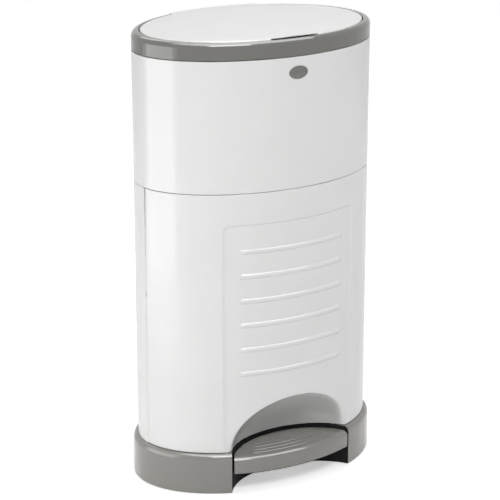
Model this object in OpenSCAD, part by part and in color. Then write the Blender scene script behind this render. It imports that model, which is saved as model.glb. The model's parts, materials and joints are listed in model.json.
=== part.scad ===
// Pedal nappy bin: an oval free-standing bin with a hinged front door, a foot pedal
// that lifts the lid through a push rod, and a top ring that tips up for the refill.
// Frame: X right, Y to the back, Z up; the origin is the centre of the footprint on the floor.

/* [Body] */
// Width of the white body
body_w = 344.4; // [320:0.2:370]
// Depth of the white body, front to back
body_d = 230.2; // [214:0.2:250]
// Height at which the grey top ring begins
body_top = 596.8; // [580:0.2:620]
// Height of the seam between the lower shell with its door and the upper shell
seam_z = 421.2; // [410:0.2:440]
// Wall thickness of the moulded shells
wall = 2.6; // [2:0.1:3.5]
// Visible gap between two shells
seam_gap = 0.8; // [0.4:0.1:1.2]
// Width of the inward flanges that the shells are screwed together by
flange_w = 11.4; // [10:0.1:14]
// Thickness of those flanges and of the deck in the upper shell
flange_t = 3; // [2:0.1:4]

/* [Plinth] */
// Height of the plinth above the floor
plinth_h = 57; // [50:0.5:64]
// How far the plinth stands out from the body all round
plinth_out = 7; // [5:0.2:10]
// Height of the rounded shoulder of the plinth
shoulder_h = 9; // [5:0.5:12]
// Wall thickness of the plinth
plinth_wall = 3; // [2.4:0.1:4]
// Gap between the plinth wall and the floor
plinth_lift = 0.8; // [0.4:0.1:2]
// Radius of a rubber foot
foot_r = 9; // [6:0.5:12]
// Height of a rubber foot below the pan
foot_h = 4; // [3:0.5:6]
// Thickness of the pan that closes the plinth
pan_t = 2.5; // [2:0.1:4]

/* [Toe recess] */
// Radius of the recess in plan
niche_r = 116; // [105:0.5:125]
// Distance of the centre of that circle in front of the bin's centre
niche_y = 171; // [165:0.5:178]
// Height of the domed recess in the door above the plinth
scoop_h = 82.7; // [60:0.1:100]
// Thickness of the dark liner that stands in the recess
liner_t = 2; // [1.6:0.1:3]

/* [Door] */
// Half width of the recessed panel on the door
panel_half = 101; // [85:0.5:110]
// Height of the panel's top edge
panel_top = 380.5; // [350:0.5:400]
// Corner radius of the panel
panel_corner = 12; // [6:0.5:20]
// Depth of the panel below the door's skin
panel_depth = 1.2; // [0.6:0.1:1.6]
// Number of raised ribs on the panel
rib_count = 6; // [3:1:7]
// Height of the lowest rib
rib_low = 170.5; // [165:0.5:200]
// Distance from rib to rib
rib_pitch = 34.3; // [28:0.1:36]
// Half length of a rib
rib_half = 78; // [50:0.5:82]
// Height of a rib's half-round section
rib_h = 6.5; // [4:0.1:9]
// How far the rib's crown stands above the panel
rib_rise = 2; // [1:0.1:2.4]
// Distance of the hinge axis inside the door's outline
hinge_in = 5.4; // [5:0.1:7]
// Distance of the hinge axis in front of the bin's centre
hinge_front = 16; // [14:0.5:20]
// Radius of the door's hinge pins
door_pin_r = 2; // [1.5:0.1:2.4]
// Height of the finger notch and of the catch behind it
catch_z = 273; // [200:1:340]

/* [Top ring] */
// Height of the grey ring above the body
ring_h = 23.2; // [22.4:0.1:26]
// Radius of the ring's rounded outer edge
ring_round = 7; // [4:0.5:9]
// Half width of the bay in which the lid is hinged
bay_half = 70; // [60:1:80]
// Depth below the ring's top of the ledge that carries the funnel plate
ledge_down = 16.2; // [16:0.1:16.6]
// Radius of the hinge pins of the ring and of the lid
ring_pin_r = 1.5; // [1.2:0.1:1.8]
// Distance of the ring's hinge axis inside the back of the body
ring_axis_in = 5.1; // [5:0.1:6]
// Distance of the ring's hinge axis below the top of the body
ring_axis_down = 4.3; // [4.2:0.1:5]

/* [Lid] */
// Distance of the lid's edge inside the side of the body
lid_side = 12.6; // [10:0.1:16]
// Distance of the lid's edge inside the front of the body
lid_front = 7.1; // [7:0.1:8]
// Gap between the lid and the ring
lid_gap = 1.3; // [0.8:0.1:2]
// Height of the lid's crown above the ring
lid_rise = 8.5; // [6:0.1:11]
// Thickness of the lid
lid_t = 3; // [2.4:0.1:3.4]
// Half length of the finger slot in the lid's front edge
slot_half = 36; // [25:1:45]
// Depth of the finger slot, from the front of the lid's edge
slot_deep = 5.6; // [4:0.1:7]
// Angle to which the lid opens
lid_open = 75; // [60:1:80]
// Distance from the lid's hinge to its roller
lever_len = 16; // [14:0.5:17]

/* [Pedal] */
// Height of the pedal's tread
pedal_top = 52; // [48:0.5:55]
// Height of the pedal's lower edge
pedal_low = 28; // [27:0.5:32]
// Gap between the pedal and the liner of the recess
pedal_gap = 1.8; // [1.5:0.1:3]
// Number of grip lines on the tread
grip_count = 4; // [2:1:5]
// Height of the pedal's pivot
pivot_z = 24; // [22:0.5:25]
// Distance of the pedal's pivot in front of the bin's centre
pivot_front = 2; // [0:0.5:4]
// Angle through which the pedal is pressed
pedal_press = 12.5; // [10:0.1:12.5]
// Radius of the pedal's steel axle
axle_r = 3; // [2.5:0.1:4]

/* [Push rod] */
// Distance of the rod behind the bin's centre
rod_y = 86; // [84:0.5:88]
// Radius of the rod
rod_r = 3; // [2:0.1:3.5]
// Length of the return spring at rest
spring_len = 60; // [50:1:80]
// Wire radius of the return spring
wire_r = 0.8; // [0.5:0.1:1]

/* [Refill and trap] */
// Radius of the throat through the ring, the refill and the deck
throat_r = 60; // [50:1:62]
// Distance of the throat's centre in front of the bin's centre
throat_front = 10; // [6:1:12]
// Depth of the deck's upper face below the top of the body
deck_down = 53.8; // [52:0.2:60]
// Height of the refill's film cassette
cassette_h = 45; // [35:1:46]

/* [Release button] */
// Width of the button
button_w = 28; // [22:0.5:32]
// Height of the button
button_h = 17; // [12:0.5:20]
// Distance of the button's centre below the top of the body
button_down = 21; // [20:0.1:24]
// Travel of the button
button_travel = 3; // [2:0.1:3]

/* [Hidden] */

// Finishes
white = [0.95, 0.95, 0.94];
grey = [0.56, 0.55, 0.53];
dark = [0.1, 0.1, 0.1];
steel = [0.75, 0.76, 0.78];

// Fits
run_fit = 0.06;   // radial play of a pin in its bore
hole_fit = 0.25;  // radial play of a screw in a clearance hole
seat = 0.3;       // play between two seated mouldings
weld = 0.4;       // how far joined shapes run into each other
past = 1;         // how far a cut runs past the face it opens
fine = 96;        // facets of a large oval
small = 48;       // facets of a small circle
far = 400;        // larger than the bin, for cutting planes

// Body
body_a = body_w / 2;
body_b = body_d / 2;
body_low = plinth_h + seam_gap / 2;
lower_top = seam_z - seam_gap / 2;
ring_top = body_top + ring_h;
ledge_z = ring_top - ledge_down;
deck_z = body_top - deck_down;
button_z = body_top - button_down;
upper_low = seam_z + seam_gap / 2;
shell_top = body_top - seam_gap / 2;
flange_in = wall + flange_w;
edge_y = -9;

// Plinth
plinth_a = body_a + plinth_out;
plinth_b = body_b + plinth_out;
ledge_low = plinth_h - flange_t;
pan_low = foot_h;
pan_high = pan_low + pan_t;
niche_cut = niche_r + 0.2;
liner_r = niche_r - liner_t;

// Door
hinge_x = body_a * sqrt(1 - pow(hinge_front / body_b, 2)) - hinge_in;
hinge_y = -hinge_front;
edge_r = 9.1;
knuckle_r = 4.2;
knuckle_h = 22;
door_low = plinth_h + seam_gap;
pin_head = 2.6;

// Ring
ring_low = body_top + seam_gap / 2;
lid_a = body_a - lid_side;
lid_b = body_b - lid_front;
hole_a = lid_a + lid_gap;
hole_b = lid_b + lid_gap;
ring_inner = 2;
spigot_t = 1.7;
ledge_w = 8;
spigot_low = body_top - 9;
rail_top = ring_low + 3.3;
ring_axis_y = body_b - ring_axis_in;
ring_axis_z = body_top - ring_axis_down;
relief_half = 46;
ring_pin_len = 84;

// Lid
edge_top = ring_top + 0.6;
edge_low = edge_top - lid_t;
lid_crown = ring_top + lid_rise;
dome_r = (pow(lid_a, 2) + pow(lid_crown - edge_top, 2)) / (2 * (lid_crown - edge_top));
lid_axis_y = body_b - 15.1;
lid_axis_z = ring_top - 4;
barrel_r = 3.2;
roller_r = 2.5;
roller_y = lid_axis_y - lever_len * cos(lid_open / 2);
roller_z = lid_axis_z - lever_len * sin(lid_open / 2);
rim_relief = 3.6;
skirt_in = 7.6;
skirt_low = edge_low - 6.6;
seal_h = 3.8;
slot_y = slot_deep - lid_b;
lip_low = edge_top - 0.3;
window_low = skirt_low + 3.5;
plate_t = 2.5;

// Pedal and rod
pedal_r = liner_r - pedal_gap;
lever_t = 4;
lever_w = 28;
lever_top = pivot_z + lever_t / 2;
bar_front = -98;
block_front = bar_front + 1;
block_len = 36;
pad_screw_ys = [bar_front + 8, bar_front + 28];
free_play = 0.4;
foot_low = lever_top + free_play;
cap_top = roller_z - roller_r - free_play;
rod_travel = 2 * lever_len * sin(lid_open / 2);
collar_t = 4;
guide_t = 8;
guide_zs = [100, 380];
spring_top = guide_zs[1];
spring_low = spring_top - spring_len;

// Throat
throat_y = -throat_front;
deck_low = deck_z - flange_t;
cassette_r = throat_r + 18;
frame_t = 4;
flap_axis_x = throat_r + 10;
flap_axis_z = deck_low - frame_t - 5;
flap_t = 3;
flap_r = throat_r + 4;
flap_barrel = 3.5;
flap_len = 80;
flap_pin_r = 1.5;

// A solid oval with half axes a and b
module oval(a, b, h) {
    scale([1, b / a, 1])
        cylinder(r = a, h = h, $fn = fine);
}

// A solid oval in two halves, for the pieces that are closed all round
module split_oval(a, b, h) {
    oval_turned(a, b)
        square([a, h]);
}

// The body's oval in two halves, from z0 to z1
module moulded_oval(inset, z0, z1) {
    translate([0, 0, z0])
        split_oval(body_a - inset, body_b - inset, z1 - z0);
}

// The body's oval moved inwards by inset, from z0 to z1
module body_oval(inset, z0, z1) {
    translate([0, 0, z0])
        oval(body_a - inset, body_b - inset, z1 - z0);
}

// A turned profile, squeezed front to back into the oval a by b, in two halves
module oval_turned(a, b) {
    for (turn = [0, 180])
        scale([1, b / a, 1])
            rotate([0, 0, turn])
                rotate_extrude(angle = 180, $fn = fine)
                    children();
}

// Points of a quarter round from the side (x, z - h) to the top (x - w, z)
function quarter(x, z, w, h, n) = [for (i = [0 : n])
    [x - w * (1 - cos(90 * i / n)), z - h + h * sin(90 * i / n)]];

// A cylinder along X, centred on x = 0
module x_cylinder(r, len, y, z) {
    translate([-len / 2, y, z])
        rotate([0, 90, 0])
            cylinder(r = r, h = len, $fn = small);
}

// The circle of the toe recess in plan, from z0 to z1
module niche_disc(r, z0, z1) {
    translate([0, -niche_y, z0])
        cylinder(r = r, h = z1 - z0, $fn = fine);
}

// Places the children on the body's oval moved inwards by inset, at each angle
module around(inset, angles) {
    for (t = angles)
        translate([(body_a - inset) * cos(t), (body_b - inset) * sin(t), 0])
            children();
}

flange_angles = [18, 62, 118, 162];
pan_angles = [14, 50, 130, 166, 200, 340];
screw_in = 7;
pan_screw_in = 14;
screw_r = 1.75;
screw_head_r = 3.3;
screw_head_h = 2.4;
foot_spots = [for (y = [0.33, -0.365], s = [-1, 1]) [s * (body_a - 34.2), y * body_b]];

// Grey plinth: a hollow oval skirt with a ledge on top, cut open for the pedal
module base_plinth() {
    color(grey)
    difference() {
        union() {
            difference() {
                oval_turned(plinth_a, plinth_b)
                    polygon(concat([[0, plinth_lift], [plinth_a - 2, plinth_lift],
                        [plinth_a, plinth_lift + 2]],
                        quarter(plinth_a, plinth_h, plinth_out, shoulder_h, 6), [[0, plinth_h]]));
                translate([0, 0, -past])
                    split_oval(plinth_a - plinth_wall, plinth_b - plinth_wall, ledge_low + past);
                moulded_oval(flange_in, 0, plinth_h + past);
            }
            around(pan_screw_in, pan_angles)
                translate([0, 0, pan_high])
                    cylinder(r = 5, h = ledge_low + weld - pan_high, $fn = small);
        }
        niche_disc(niche_cut, -past, plinth_h + past);
        around(pan_screw_in, pan_angles)
            cylinder(r = screw_r + run_fit, h = pan_high + 14, $fn = small);
        around(screw_in, flange_angles)
            translate([0, 0, ledge_low - past])
                cylinder(r = screw_r + run_fit, h = flange_t + 2 * past, $fn = small);
        translate([hinge_x, hinge_y, ledge_low - past])
            cylinder(r = door_pin_r + run_fit, h = flange_t + 2 * past, $fn = small);
    }
}

// Dark pan: closes the plinth from below, lines the toe recess and carries the axle
module base_pan() {
    lug_x = lever_w / 2 + 3;
    lug_t = 6;
    lug_r = axle_r + 4;
    pan_a = plinth_a - plinth_wall - seat;
    pan_b = plinth_b - plinth_wall - seat;
    color(dark)
    difference() {
        union() {
            difference() {
                translate([0, 0, pan_low])
                    oval(pan_a, pan_b, pan_t);
                niche_disc(niche_r - weld, -past, pan_high + past);
            }
            intersection() {
                difference() {
                    niche_disc(niche_r, plinth_lift, plinth_h);
                    niche_disc(liner_r, -past, plinth_h + past);
                }
                translate([0, 0, -past])
                    oval(plinth_a - 0.6, plinth_b - 0.6, plinth_h + 2 * past);
            }
            for (s = [-1, 1])
                translate([s * (lug_x + lug_t / 2) - lug_t / 2, -pivot_front, 0]) {
                    translate([0, -lug_r, pan_high - weld])
                        cube([lug_t, 2 * lug_r, pivot_z - pan_high + weld]);
                    translate([0, 0, pivot_z])
                        rotate([0, 90, 0])
                            cylinder(r = lug_r, h = lug_t, $fn = small);
                }
        }
        x_cylinder(axle_r + run_fit, 80, -pivot_front, pivot_z);
        translate([-lever_w / 2 - 2, -niche_y + liner_r - 4, pan_high + 2])
            cube([lever_w + 4, 10, pivot_z + 4]);
        around(pan_screw_in, pan_angles)
            cylinder(r = screw_r + hole_fit, h = 20, $fn = small);
        for (p = foot_spots)
            translate([p[0], p[1], 0])
                cylinder(r = foot_r / 3, h = 20, $fn = small);
    }
}

// Four rubber feet, each with a plug through the pan
module foot_pads() {
    color(dark)
    for (p = foot_spots)
        translate([p[0], p[1], 0]) {
            cylinder(r = foot_r, h = foot_h, $fn = small);
            cylinder(r = foot_r / 3 - run_fit, h = pan_high + 2, $fn = small);
        }
}

// A pan-head screw with its head's seat at z = 0, pointing up
module screw(len) {
    translate([0, 0, -screw_head_h])
        cylinder(r = screw_head_r, h = screw_head_h, $fn = small);
    translate([0, 0, -weld])
        cylinder(r = screw_r, h = len + weld, $fn = small);
}

// Screws that hold the pan to the plinth
module pan_screws() {
    color(steel)
    around(pan_screw_in, pan_angles)
        translate([0, 0, pan_low])
            screw(pan_t + 12);
}

// Screws through the flanges: four at the seam and four into the plinth
module flange_screws() {
    color(steel) {
        around(screw_in, flange_angles)
            translate([0, 0, lower_top - flange_t])
                screw(2 * flange_t + seam_gap + 4);
        around(screw_in, flange_angles)
            translate([0, 0, body_low + flange_t])
                mirror([0, 0, 1])
                    screw(2 * flange_t + 2);
    }
}

// Lower back shell: the rear half of the oval with a flange at the top and the bottom
module rear_body() {
    color(white)
    difference() {
        body_oval(0, body_low, lower_top);
        body_oval(wall, body_low + flange_t, lower_top - flange_t);
        body_oval(flange_in, body_low - past, lower_top + past);
        translate([-far / 2, edge_y + seam_gap - far, 0])
            cube([far, far, 2 * far]);
        translate([hinge_x, hinge_y, 0])
            cylinder(r = edge_r + seam_gap, h = 2 * far, $fn = fine);
        around(screw_in, flange_angles)
            translate([0, 0, body_low - past])
                cylinder(r = screw_r + hole_fit, h = far, $fn = small);
    }
}

// Upper shell with the deck that carries the refill, the ring's hinge lugs and the
// guide of the release button
module upper_body() {
    lug_x = 31;
    lug_w = 9;
    guide_y = throat_y - cassette_r - 4;
    guide_w = 24;
    color(white)
    difference() {
        union() {
            difference() {
                moulded_oval(0, upper_low, shell_top);
                moulded_oval(wall, upper_low + flange_t, deck_low);
                moulded_oval(wall, deck_z, shell_top + past);
                body_oval(flange_in, upper_low - past, upper_low + flange_t + past);
                translate([-relief_half, 0, ring_axis_z - 4.5])
                    cube([2 * relief_half, far, far]);
                translate([0, -body_b + 2 * wall, button_z])
                    rotate([90, 0, 0])
                        scale([(button_w + 2 * seat) / (button_h + 2 * seat), 1, 1])
                            cylinder(r = button_h / 2 + seat, h = 4 * wall, $fn = fine);
            }
            for (s = [-1, 1])
                translate([s * (lug_x + lug_w / 2) - lug_w / 2, 0, 0]) {
                    translate([0, ring_axis_y - 4, ring_axis_z - 16])
                        cube([lug_w, 5, 16]);
                    translate([0, ring_axis_y, ring_axis_z])
                        rotate([0, 90, 0])
                            cylinder(r = 4, h = lug_w, $fn = small);
                }
            translate([-guide_w / 2, guide_y - 3, deck_z - weld])
                cube([guide_w, 3, button_z + 8 - deck_z]);
            around(screw_in, flange_angles)
                translate([0, 0, upper_low + flange_t - weld])
                    cylinder(r = 4, h = 6, $fn = small);
        }
        x_cylinder(ring_pin_r + run_fit, ring_pin_len + 16, ring_axis_y, ring_axis_z);
        translate([0, throat_y, deck_low - past])
            cylinder(r = throat_r, h = flange_t + 2 * past, $fn = fine);
        translate([0, rod_y, deck_low - past])
            cylinder(r = rod_r + run_fit, h = flange_t + 2 * past, $fn = small);
        translate([0, guide_y + past, button_z])
            rotate([90, 0, 0])
                cylinder(r = 3 + run_fit, h = 3 + 2 * past, $fn = small);
        around(screw_in, flange_angles)
            translate([0, 0, upper_low - past])
                cylinder(r = screw_r + run_fit, h = 8, $fn = small);
        translate([hinge_x, hinge_y, upper_low - past])
            cylinder(r = door_pin_r + run_fit, h = flange_t + 2 * past, $fn = small);
    }
}

// Floor of the bag room, resting on the lower flange
module floor_panel() {
    low = body_low + flange_t;
    color(white)
    difference() {
        translate([0, 0, low])
            oval(body_a - flange_in + 2.5, body_b - flange_in + 2.5, 2.5);
        niche_disc(niche_r + wall + 4, low - past, low + far);
        translate([hinge_x, hinge_y, low - past])
            cylinder(r = edge_r + 4, h = 10, $fn = small);
        translate([0, rod_y, low - past])
            cylinder(r = rod_r + 1.5, h = 10, $fn = small);
    }
}

// A bar with half-round ends across the front, h high and reaching from y0 to y1
module front_bar(half, h, z, y0, y1) {
    translate([0, y1, z])
        rotate([90, 0, 0])
            linear_extrude(y1 - y0)
                union() {
                    square([2 * half - h, h], center = true);
                    for (s = [-1, 1])
                        translate([s * (half - h / 2), 0])
                            circle(r = h / 2, $fn = 24);
                }
}

// One rib: a broad foot and a narrower crown, both following the door's curve
module rib(z) {
    base = panel_depth + 0.6;
    crown = panel_depth - rib_rise;
    step = panel_depth - rib_rise * 0.7;
    crown_inset = rib_h * 0.3;
    crown_h = rib_h * 0.56;
    intersection() {
        body_tube(step, base + 0.4, z - rib_h, z + rib_h);
        front_bar(rib_half, rib_h, z, -body_b - 5, 0);
    }
    intersection() {
        body_tube(crown, base, z - rib_h, z + rib_h);
        front_bar(rib_half - crown_inset, crown_h, z, -body_b - 5, 0);
    }
}

// A tube between two insets of the body's oval
module body_tube(outer, inner, z0, z1) {
    difference() {
        body_oval(outer, z0, z1);
        body_oval(inner, z0 - past, z1 + past);
    }
}

// Plan of the recessed panel, extruded through the door's front
module panel_prism() {
    rotate([90, 0, 0])
        linear_extrude(body_b + 20)
            union() {
                translate([-panel_half, 0])
                    square([2 * panel_half, panel_top - panel_corner]);
                translate([-panel_half + panel_corner, 0])
                    square([2 * (panel_half - panel_corner), panel_top]);
                for (s = [-1, 1])
                    translate([s * (panel_half - panel_corner), panel_top - panel_corner])
                        circle(r = panel_corner, $fn = small);
            }
}

// The domed toe recess, grown by extra
module scoop(extra) {
    translate([0, -niche_y, plinth_h])
        scale([1, 1, (scoop_h + extra) / (niche_r + extra)])
            sphere(r = niche_r + extra, $fn = fine);
}

// Front door: half of the oval shell with the toe recess, the ribbed panel, a stiffening
// lip at the top, two hinge knuckles on the right and a tongue for the catch on the left
module front_door() {
    tongue_x = body_a - wall - 5.6;
    color(white)
    difference() {
        union() {
            difference() {
                intersection() {
                    body_oval(0, door_low, lower_top);
                    union() {
                        translate([-far / 2, edge_y - far, 0])
                            cube([far, far, 2 * far]);
                        translate([hinge_x, hinge_y, 0])
                            cylinder(r = edge_r, h = 2 * far, $fn = fine);
                    }
                }
                body_oval(wall, door_low - past, lower_top - flange_t);
                body_oval(wall + 6, door_low, lower_top + past);
                intersection() {
                    body_tube(-past, panel_depth, 0, panel_top + past);
                    panel_prism();
                }
            }
            for (i = [0 : rib_count - 1])
                rib(rib_low + i * rib_pitch);
            intersection() {
                scoop(wall);
                body_oval(wall / 2, door_low, plinth_h + scoop_h);
                translate([-far / 2, -far, 0])
                    cube([far, far - 40, far]);
            }
            for (z = [door_low, lower_top - knuckle_h])
                translate([hinge_x, hinge_y, z])
                    cylinder(r = knuckle_r, h = knuckle_h, $fn = small);
            translate([-body_a + wall - weld, edge_y - 7, catch_z - 7])
                cube([5.4, 3, 14]);
            translate([-tongue_x - 2.2, edge_y - 7, catch_z - 7])
                cube([2.4, 16, 14]);
        }
        scoop(0);
        for (z = [door_low - past, lower_top - knuckle_h + 3])
            translate([hinge_x, hinge_y, z])
                cylinder(r = door_pin_r + run_fit, h = knuckle_h - 3 + past, $fn = small);
        translate([-body_a - past, edge_y - 3.4, catch_z - 6])
            cube([wall + 2, 5, 12]);
    }
}

// The door's two hinge pins, headed inside the plinth and above the seam
module door_pins() {
    color(steel)
    for (s = [0, 1])
        translate([hinge_x, hinge_y, s == 0 ? ledge_low : upper_low + flange_t])
            mirror([0, 0, s]) {
                translate([0, 0, -2])
                    cylinder(r = pin_head, h = 2, $fn = small);
                translate([0, 0, -weld])
                    cylinder(r = door_pin_r, h = flange_t + seam_gap + 16, $fn = small);
            }
}

// Spring clip on the back shell that the door's tongue slides behind
module door_catch() {
    leaf_x = -(body_a - wall - 5.6) + 0.6;
    color(steel)
    translate([0, 0, catch_z - 8]) {
        translate([leaf_x, edge_y + 4, 0])
            cube([1.4, 12, 16]);
        translate([-body_a + wall + 0.5, edge_y + 13, 0])
            cube([leaf_x + body_a - wall + 0.5, 3, 16]);
    }
}

// Grey top ring: rounded outside, hollow below, with a ledge for the funnel plate, a
// spigot inside the body, a bay at the back for the lid's tongue and two hinge knuckles
module top_ring() {
    knuckle_x = 10;
    knuckle_w = 20;
    ledge_t = 2.8;
    solid_half = bay_half + 14;
    tab_y = -hole_b + 3.5;
    tab_h = ledge_z - 1 - button_z + 6;
    color(grey)
    difference() {
        union() {
            difference() {
                union() {
                    oval_turned(body_a, body_b)
                        polygon(concat([[0, ring_low], [body_a, ring_low]],
                            quarter(body_a, ring_top, ring_round, ring_round, 6),
                            [[0, ring_top]]));
                    intersection() {
                        translate([0, 0, spigot_low])
                            split_oval(hole_a + spigot_t, hole_b + spigot_t,
                                ring_low + weld - spigot_low);
                        translate([-far / 2, -far + 60, spigot_low - past])
                            cube([far, far, far]);
                    }
                }
                translate([0, 0, ledge_z])
                    split_oval(hole_a, hole_b, far);
                translate([0, 0, spigot_low - past])
                    split_oval(hole_a, hole_b, ledge_z - ledge_t - spigot_low + past);
                translate([0, 0, ring_low])
                    split_oval(lid_a - ledge_w, lid_b - ledge_w, far);
                difference() {
                    moulded_oval(wall, ring_low - past, ring_top - ring_round - 1);
                    translate([0, 0, ring_low - 2 * past])
                        split_oval(hole_a + ring_inner, hole_b + ring_inner, far);
                    translate([-solid_half, 0, ring_low - 2 * past])
                        cube([2 * solid_half, far, far]);
                }
                translate([-bay_half, 60, rail_top])
                    cube([2 * bay_half, far, far]);
            }
            for (s = [-1, 1])
                translate([s * (knuckle_x + knuckle_w / 2) - knuckle_w / 2, 0, 0]) {
                    translate([0, ring_axis_y, ring_axis_z])
                        rotate([0, 90, 0])
                            cylinder(r = 4, h = knuckle_w, $fn = small);
                    translate([0, ring_axis_y - 3, ring_axis_z])
                        cube([knuckle_w, 6, ring_low + 1 - ring_axis_z]);
                }
            difference() {
                translate([-9, tab_y, button_z - 6])
                    cube([18, 2.5, tab_h]);
                translate([-3.6, tab_y - past, button_z - 7])
                    cube([7.2, 2.5 + 2 * past, 11]);
            }
        }
        x_cylinder(ring_pin_r + run_fit, ring_pin_len + 16, ring_axis_y, ring_axis_z);
        x_cylinder(ring_pin_r + run_fit, 2 * bay_half + 16, lid_axis_y, lid_axis_z);
    }
}

// Funnel plate on the ring's ledge, with the throat and a passage for the rod
module ring_funnel() {
    tube = 12;
    passage = 11;
    color(white)
    difference() {
        union() {
            translate([0, 0, ledge_z])
                oval(hole_a - seat, hole_b - seat, plate_t);
            translate([0, throat_y, ledge_z - tube])
                cylinder(r = throat_r, h = tube + weld, $fn = fine);
        }
        translate([0, throat_y, ledge_z - tube - past])
            cylinder(r = throat_r - 2, h = far, $fn = fine);
        translate([-passage, throat_y + throat_r - 8, ledge_z - tube - past])
            cube([2 * passage, far, far]);
        translate([-bay_half - 1, lid_axis_y - 6, ledge_z - past])
            cube([2 * bay_half + 2, far, far]);
    }
}

// The long pin that the ring tips on
module ring_pin() {
    color(steel)
    x_cylinder(ring_pin_r, ring_pin_len, ring_axis_y, ring_axis_z);
}

// Points of the dome at height offset drop, from the crown out to radius r
function dome(r, drop, n) = [for (i = [0 : n])
    [r * i / n, lid_crown - dome_r + sqrt(pow(dome_r, 2) - pow(r * i / n, 2)) - drop]];

// Room for the fingertips behind the lid's slot: it thins the lip and opens the skirt
module finger_room() {
    translate([1 - slot_half, 0, 0])
        rotate([90, 0, 90])
            linear_extrude(2 * slot_half - 2)
                polygon([[slot_y - weld, window_low], [slot_y - weld, lip_low],
                    [slot_y + 9.4, lip_low - 0.9], [slot_y + 9.4, window_low]]);
}

// Domed lid with a seal skirt, a hinge tongue and barrel at the back and the forked
// lever that carries the roller
module lid() {
    inner = lid_a - 3;
    dome_n = 5;
    color(white)
    difference() {
        union() {
            oval_turned(lid_a, lid_b)
                polygon(concat(dome(lid_a - 1.5, 0, dome_n),
                    [[lid_a - 0.4, edge_top - 0.6], [lid_a, edge_top - 1.4], [lid_a, edge_low]],
                    [for (i = [0 : dome_n]) dome(inner, lid_t, dome_n)[dome_n - i]]));
            difference() {
                translate([0, 0, skirt_low])
                    split_oval(lid_a - skirt_in, lid_b - skirt_in, 8);
                translate([0, 0, skirt_low - past])
                    split_oval(lid_a - skirt_in - 2.4, lid_b - skirt_in - 2.4, far);
            }
            intersection() {
                body_tube(0.6, 20, edge_low, edge_top);
                translate([-bay_half + 1.5, 60, edge_low - past])
                    cube([2 * bay_half - 3, far, far]);
            }
            x_cylinder(barrel_r, 2 * bay_half - 3, lid_axis_y, lid_axis_z);
            for (s = [-1, 1])
                translate([s * 8.5 - 1.5, 0, 0]) {
                    for (p = [[roller_y, roller_z], [lid_axis_y, lid_axis_z]])
                        translate([0, p[0], p[1]])
                            rotate([0, 90, 0])
                                cylinder(r = 3.8, h = 3, $fn = small);
                    translate([0, roller_y, roller_z])
                        rotate([lid_open / 2, 0, 0])
                            translate([0, 0, -3])
                                cube([3, lever_len, 6]);
                }
        }
        for (s = [-1, 1])
            translate([s * (bay_half - 6) - 6, lid_axis_y, lid_axis_z])
                rotate([0, 90, 0])
                    cylinder(r = ring_pin_r + run_fit, h = 12, $fn = small);
        x_cylinder(1.5 + run_fit, 30, roller_y, roller_z);
        translate([-slot_half, -lid_b - past, edge_low - 1])
            cube([2 * slot_half, slot_deep + past, far]);
        finger_room();
        for (s = [-1, 1])
            translate([s * (bay_half + 5.5) - 6.5, lid_axis_y - 10, edge_low - past])
                cube([13, 12, lid_axis_z + rim_relief - edge_low + past]);
    }
}

// Rubber seal under the lid's skirt, open at the back where the lever passes
module lid_seal() {
    color(dark)
    difference() {
        translate([0, 0, skirt_low - seal_h])
            oval(lid_a - skirt_in + 1, lid_b - skirt_in + 1, seal_h);
        translate([0, 0, skirt_low - seal_h - past])
            oval(lid_a - skirt_in - 3.4, lid_b - skirt_in - 3.4, far);
        translate([-13, 60, skirt_low - far / 2])
            cube([26, far, far]);
    }
}

// The lid's two hinge pins
module lid_pins() {
    color(steel)
    for (s = [-1, 1])
        translate([s * (bay_half - 1) - 7.5, lid_axis_y, lid_axis_z])
            rotate([0, 90, 0])
                cylinder(r = ring_pin_r, h = 15, $fn = small);
}

// Roller between the arms of the lid's lever, on its own pin
module lid_roller() {
    color(steel) {
        x_cylinder(1.5, 20, roller_y, roller_z);
        x_cylinder(roller_r, 13.4, roller_y, roller_z);
    }
}

// Oval release button with its flange and its round stem
module release_button() {
    face = -body_b - 1.4;
    stem_end = throat_y - cassette_r - 5 - button_travel + 3;
    color(grey)
    union() {
        translate([0, -body_b + 4, button_z])
            rotate([90, 0, 0])
                scale([button_w / button_h, 1, 1])
                    cylinder(r = button_h / 2, h = -body_b + 4 - face - 1, $fn = fine);
        translate([0, -body_b + 5, button_z])
            rotate([90, 0, 0])
                scale([button_w / button_h, 1, 1])
                    cylinder(r = button_h / 2 - 1, h = -body_b + 5 - face, $fn = fine);
        translate([0, -body_b + 5, button_z])
            rotate([90, 0, 0])
                scale([(button_w + 5) / (button_h + 5), 1, 1])
                    cylinder(r = button_h / 2 + 2.5, h = 1.6, $fn = fine);
        translate([0, stem_end, button_z])
            rotate([90, 0, 0])
                cylinder(r = 3, h = stem_end + body_b - 4, $fn = small);
    }
}

// Collar below the deck that the two trap flaps hang from
module trap_frame() {
    lug_y = flap_len / 2 + 0.5;
    color(grey)
    difference() {
        union() {
            translate([0, throat_y, deck_low - frame_t])
                cylinder(r = throat_r + 22, h = frame_t, $fn = fine);
            for (s = [-1, 1], t = [-1, 1])
                translate([s * flap_axis_x - 5, throat_y + t * (lug_y + 3) - 3, flap_axis_z - 5])
                    cube([10, 6, deck_low - flap_axis_z + 4]);
        }
        translate([0, throat_y, deck_low - frame_t - past])
            cylinder(r = throat_r, h = frame_t + 2 * past, $fn = fine);
        for (s = [-1, 1])
            translate([s * flap_axis_x, throat_y + far / 2, flap_axis_z])
                rotate([90, 0, 0])
                    cylinder(r = flap_pin_r + run_fit, h = far, $fn = small);
    }
}

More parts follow.
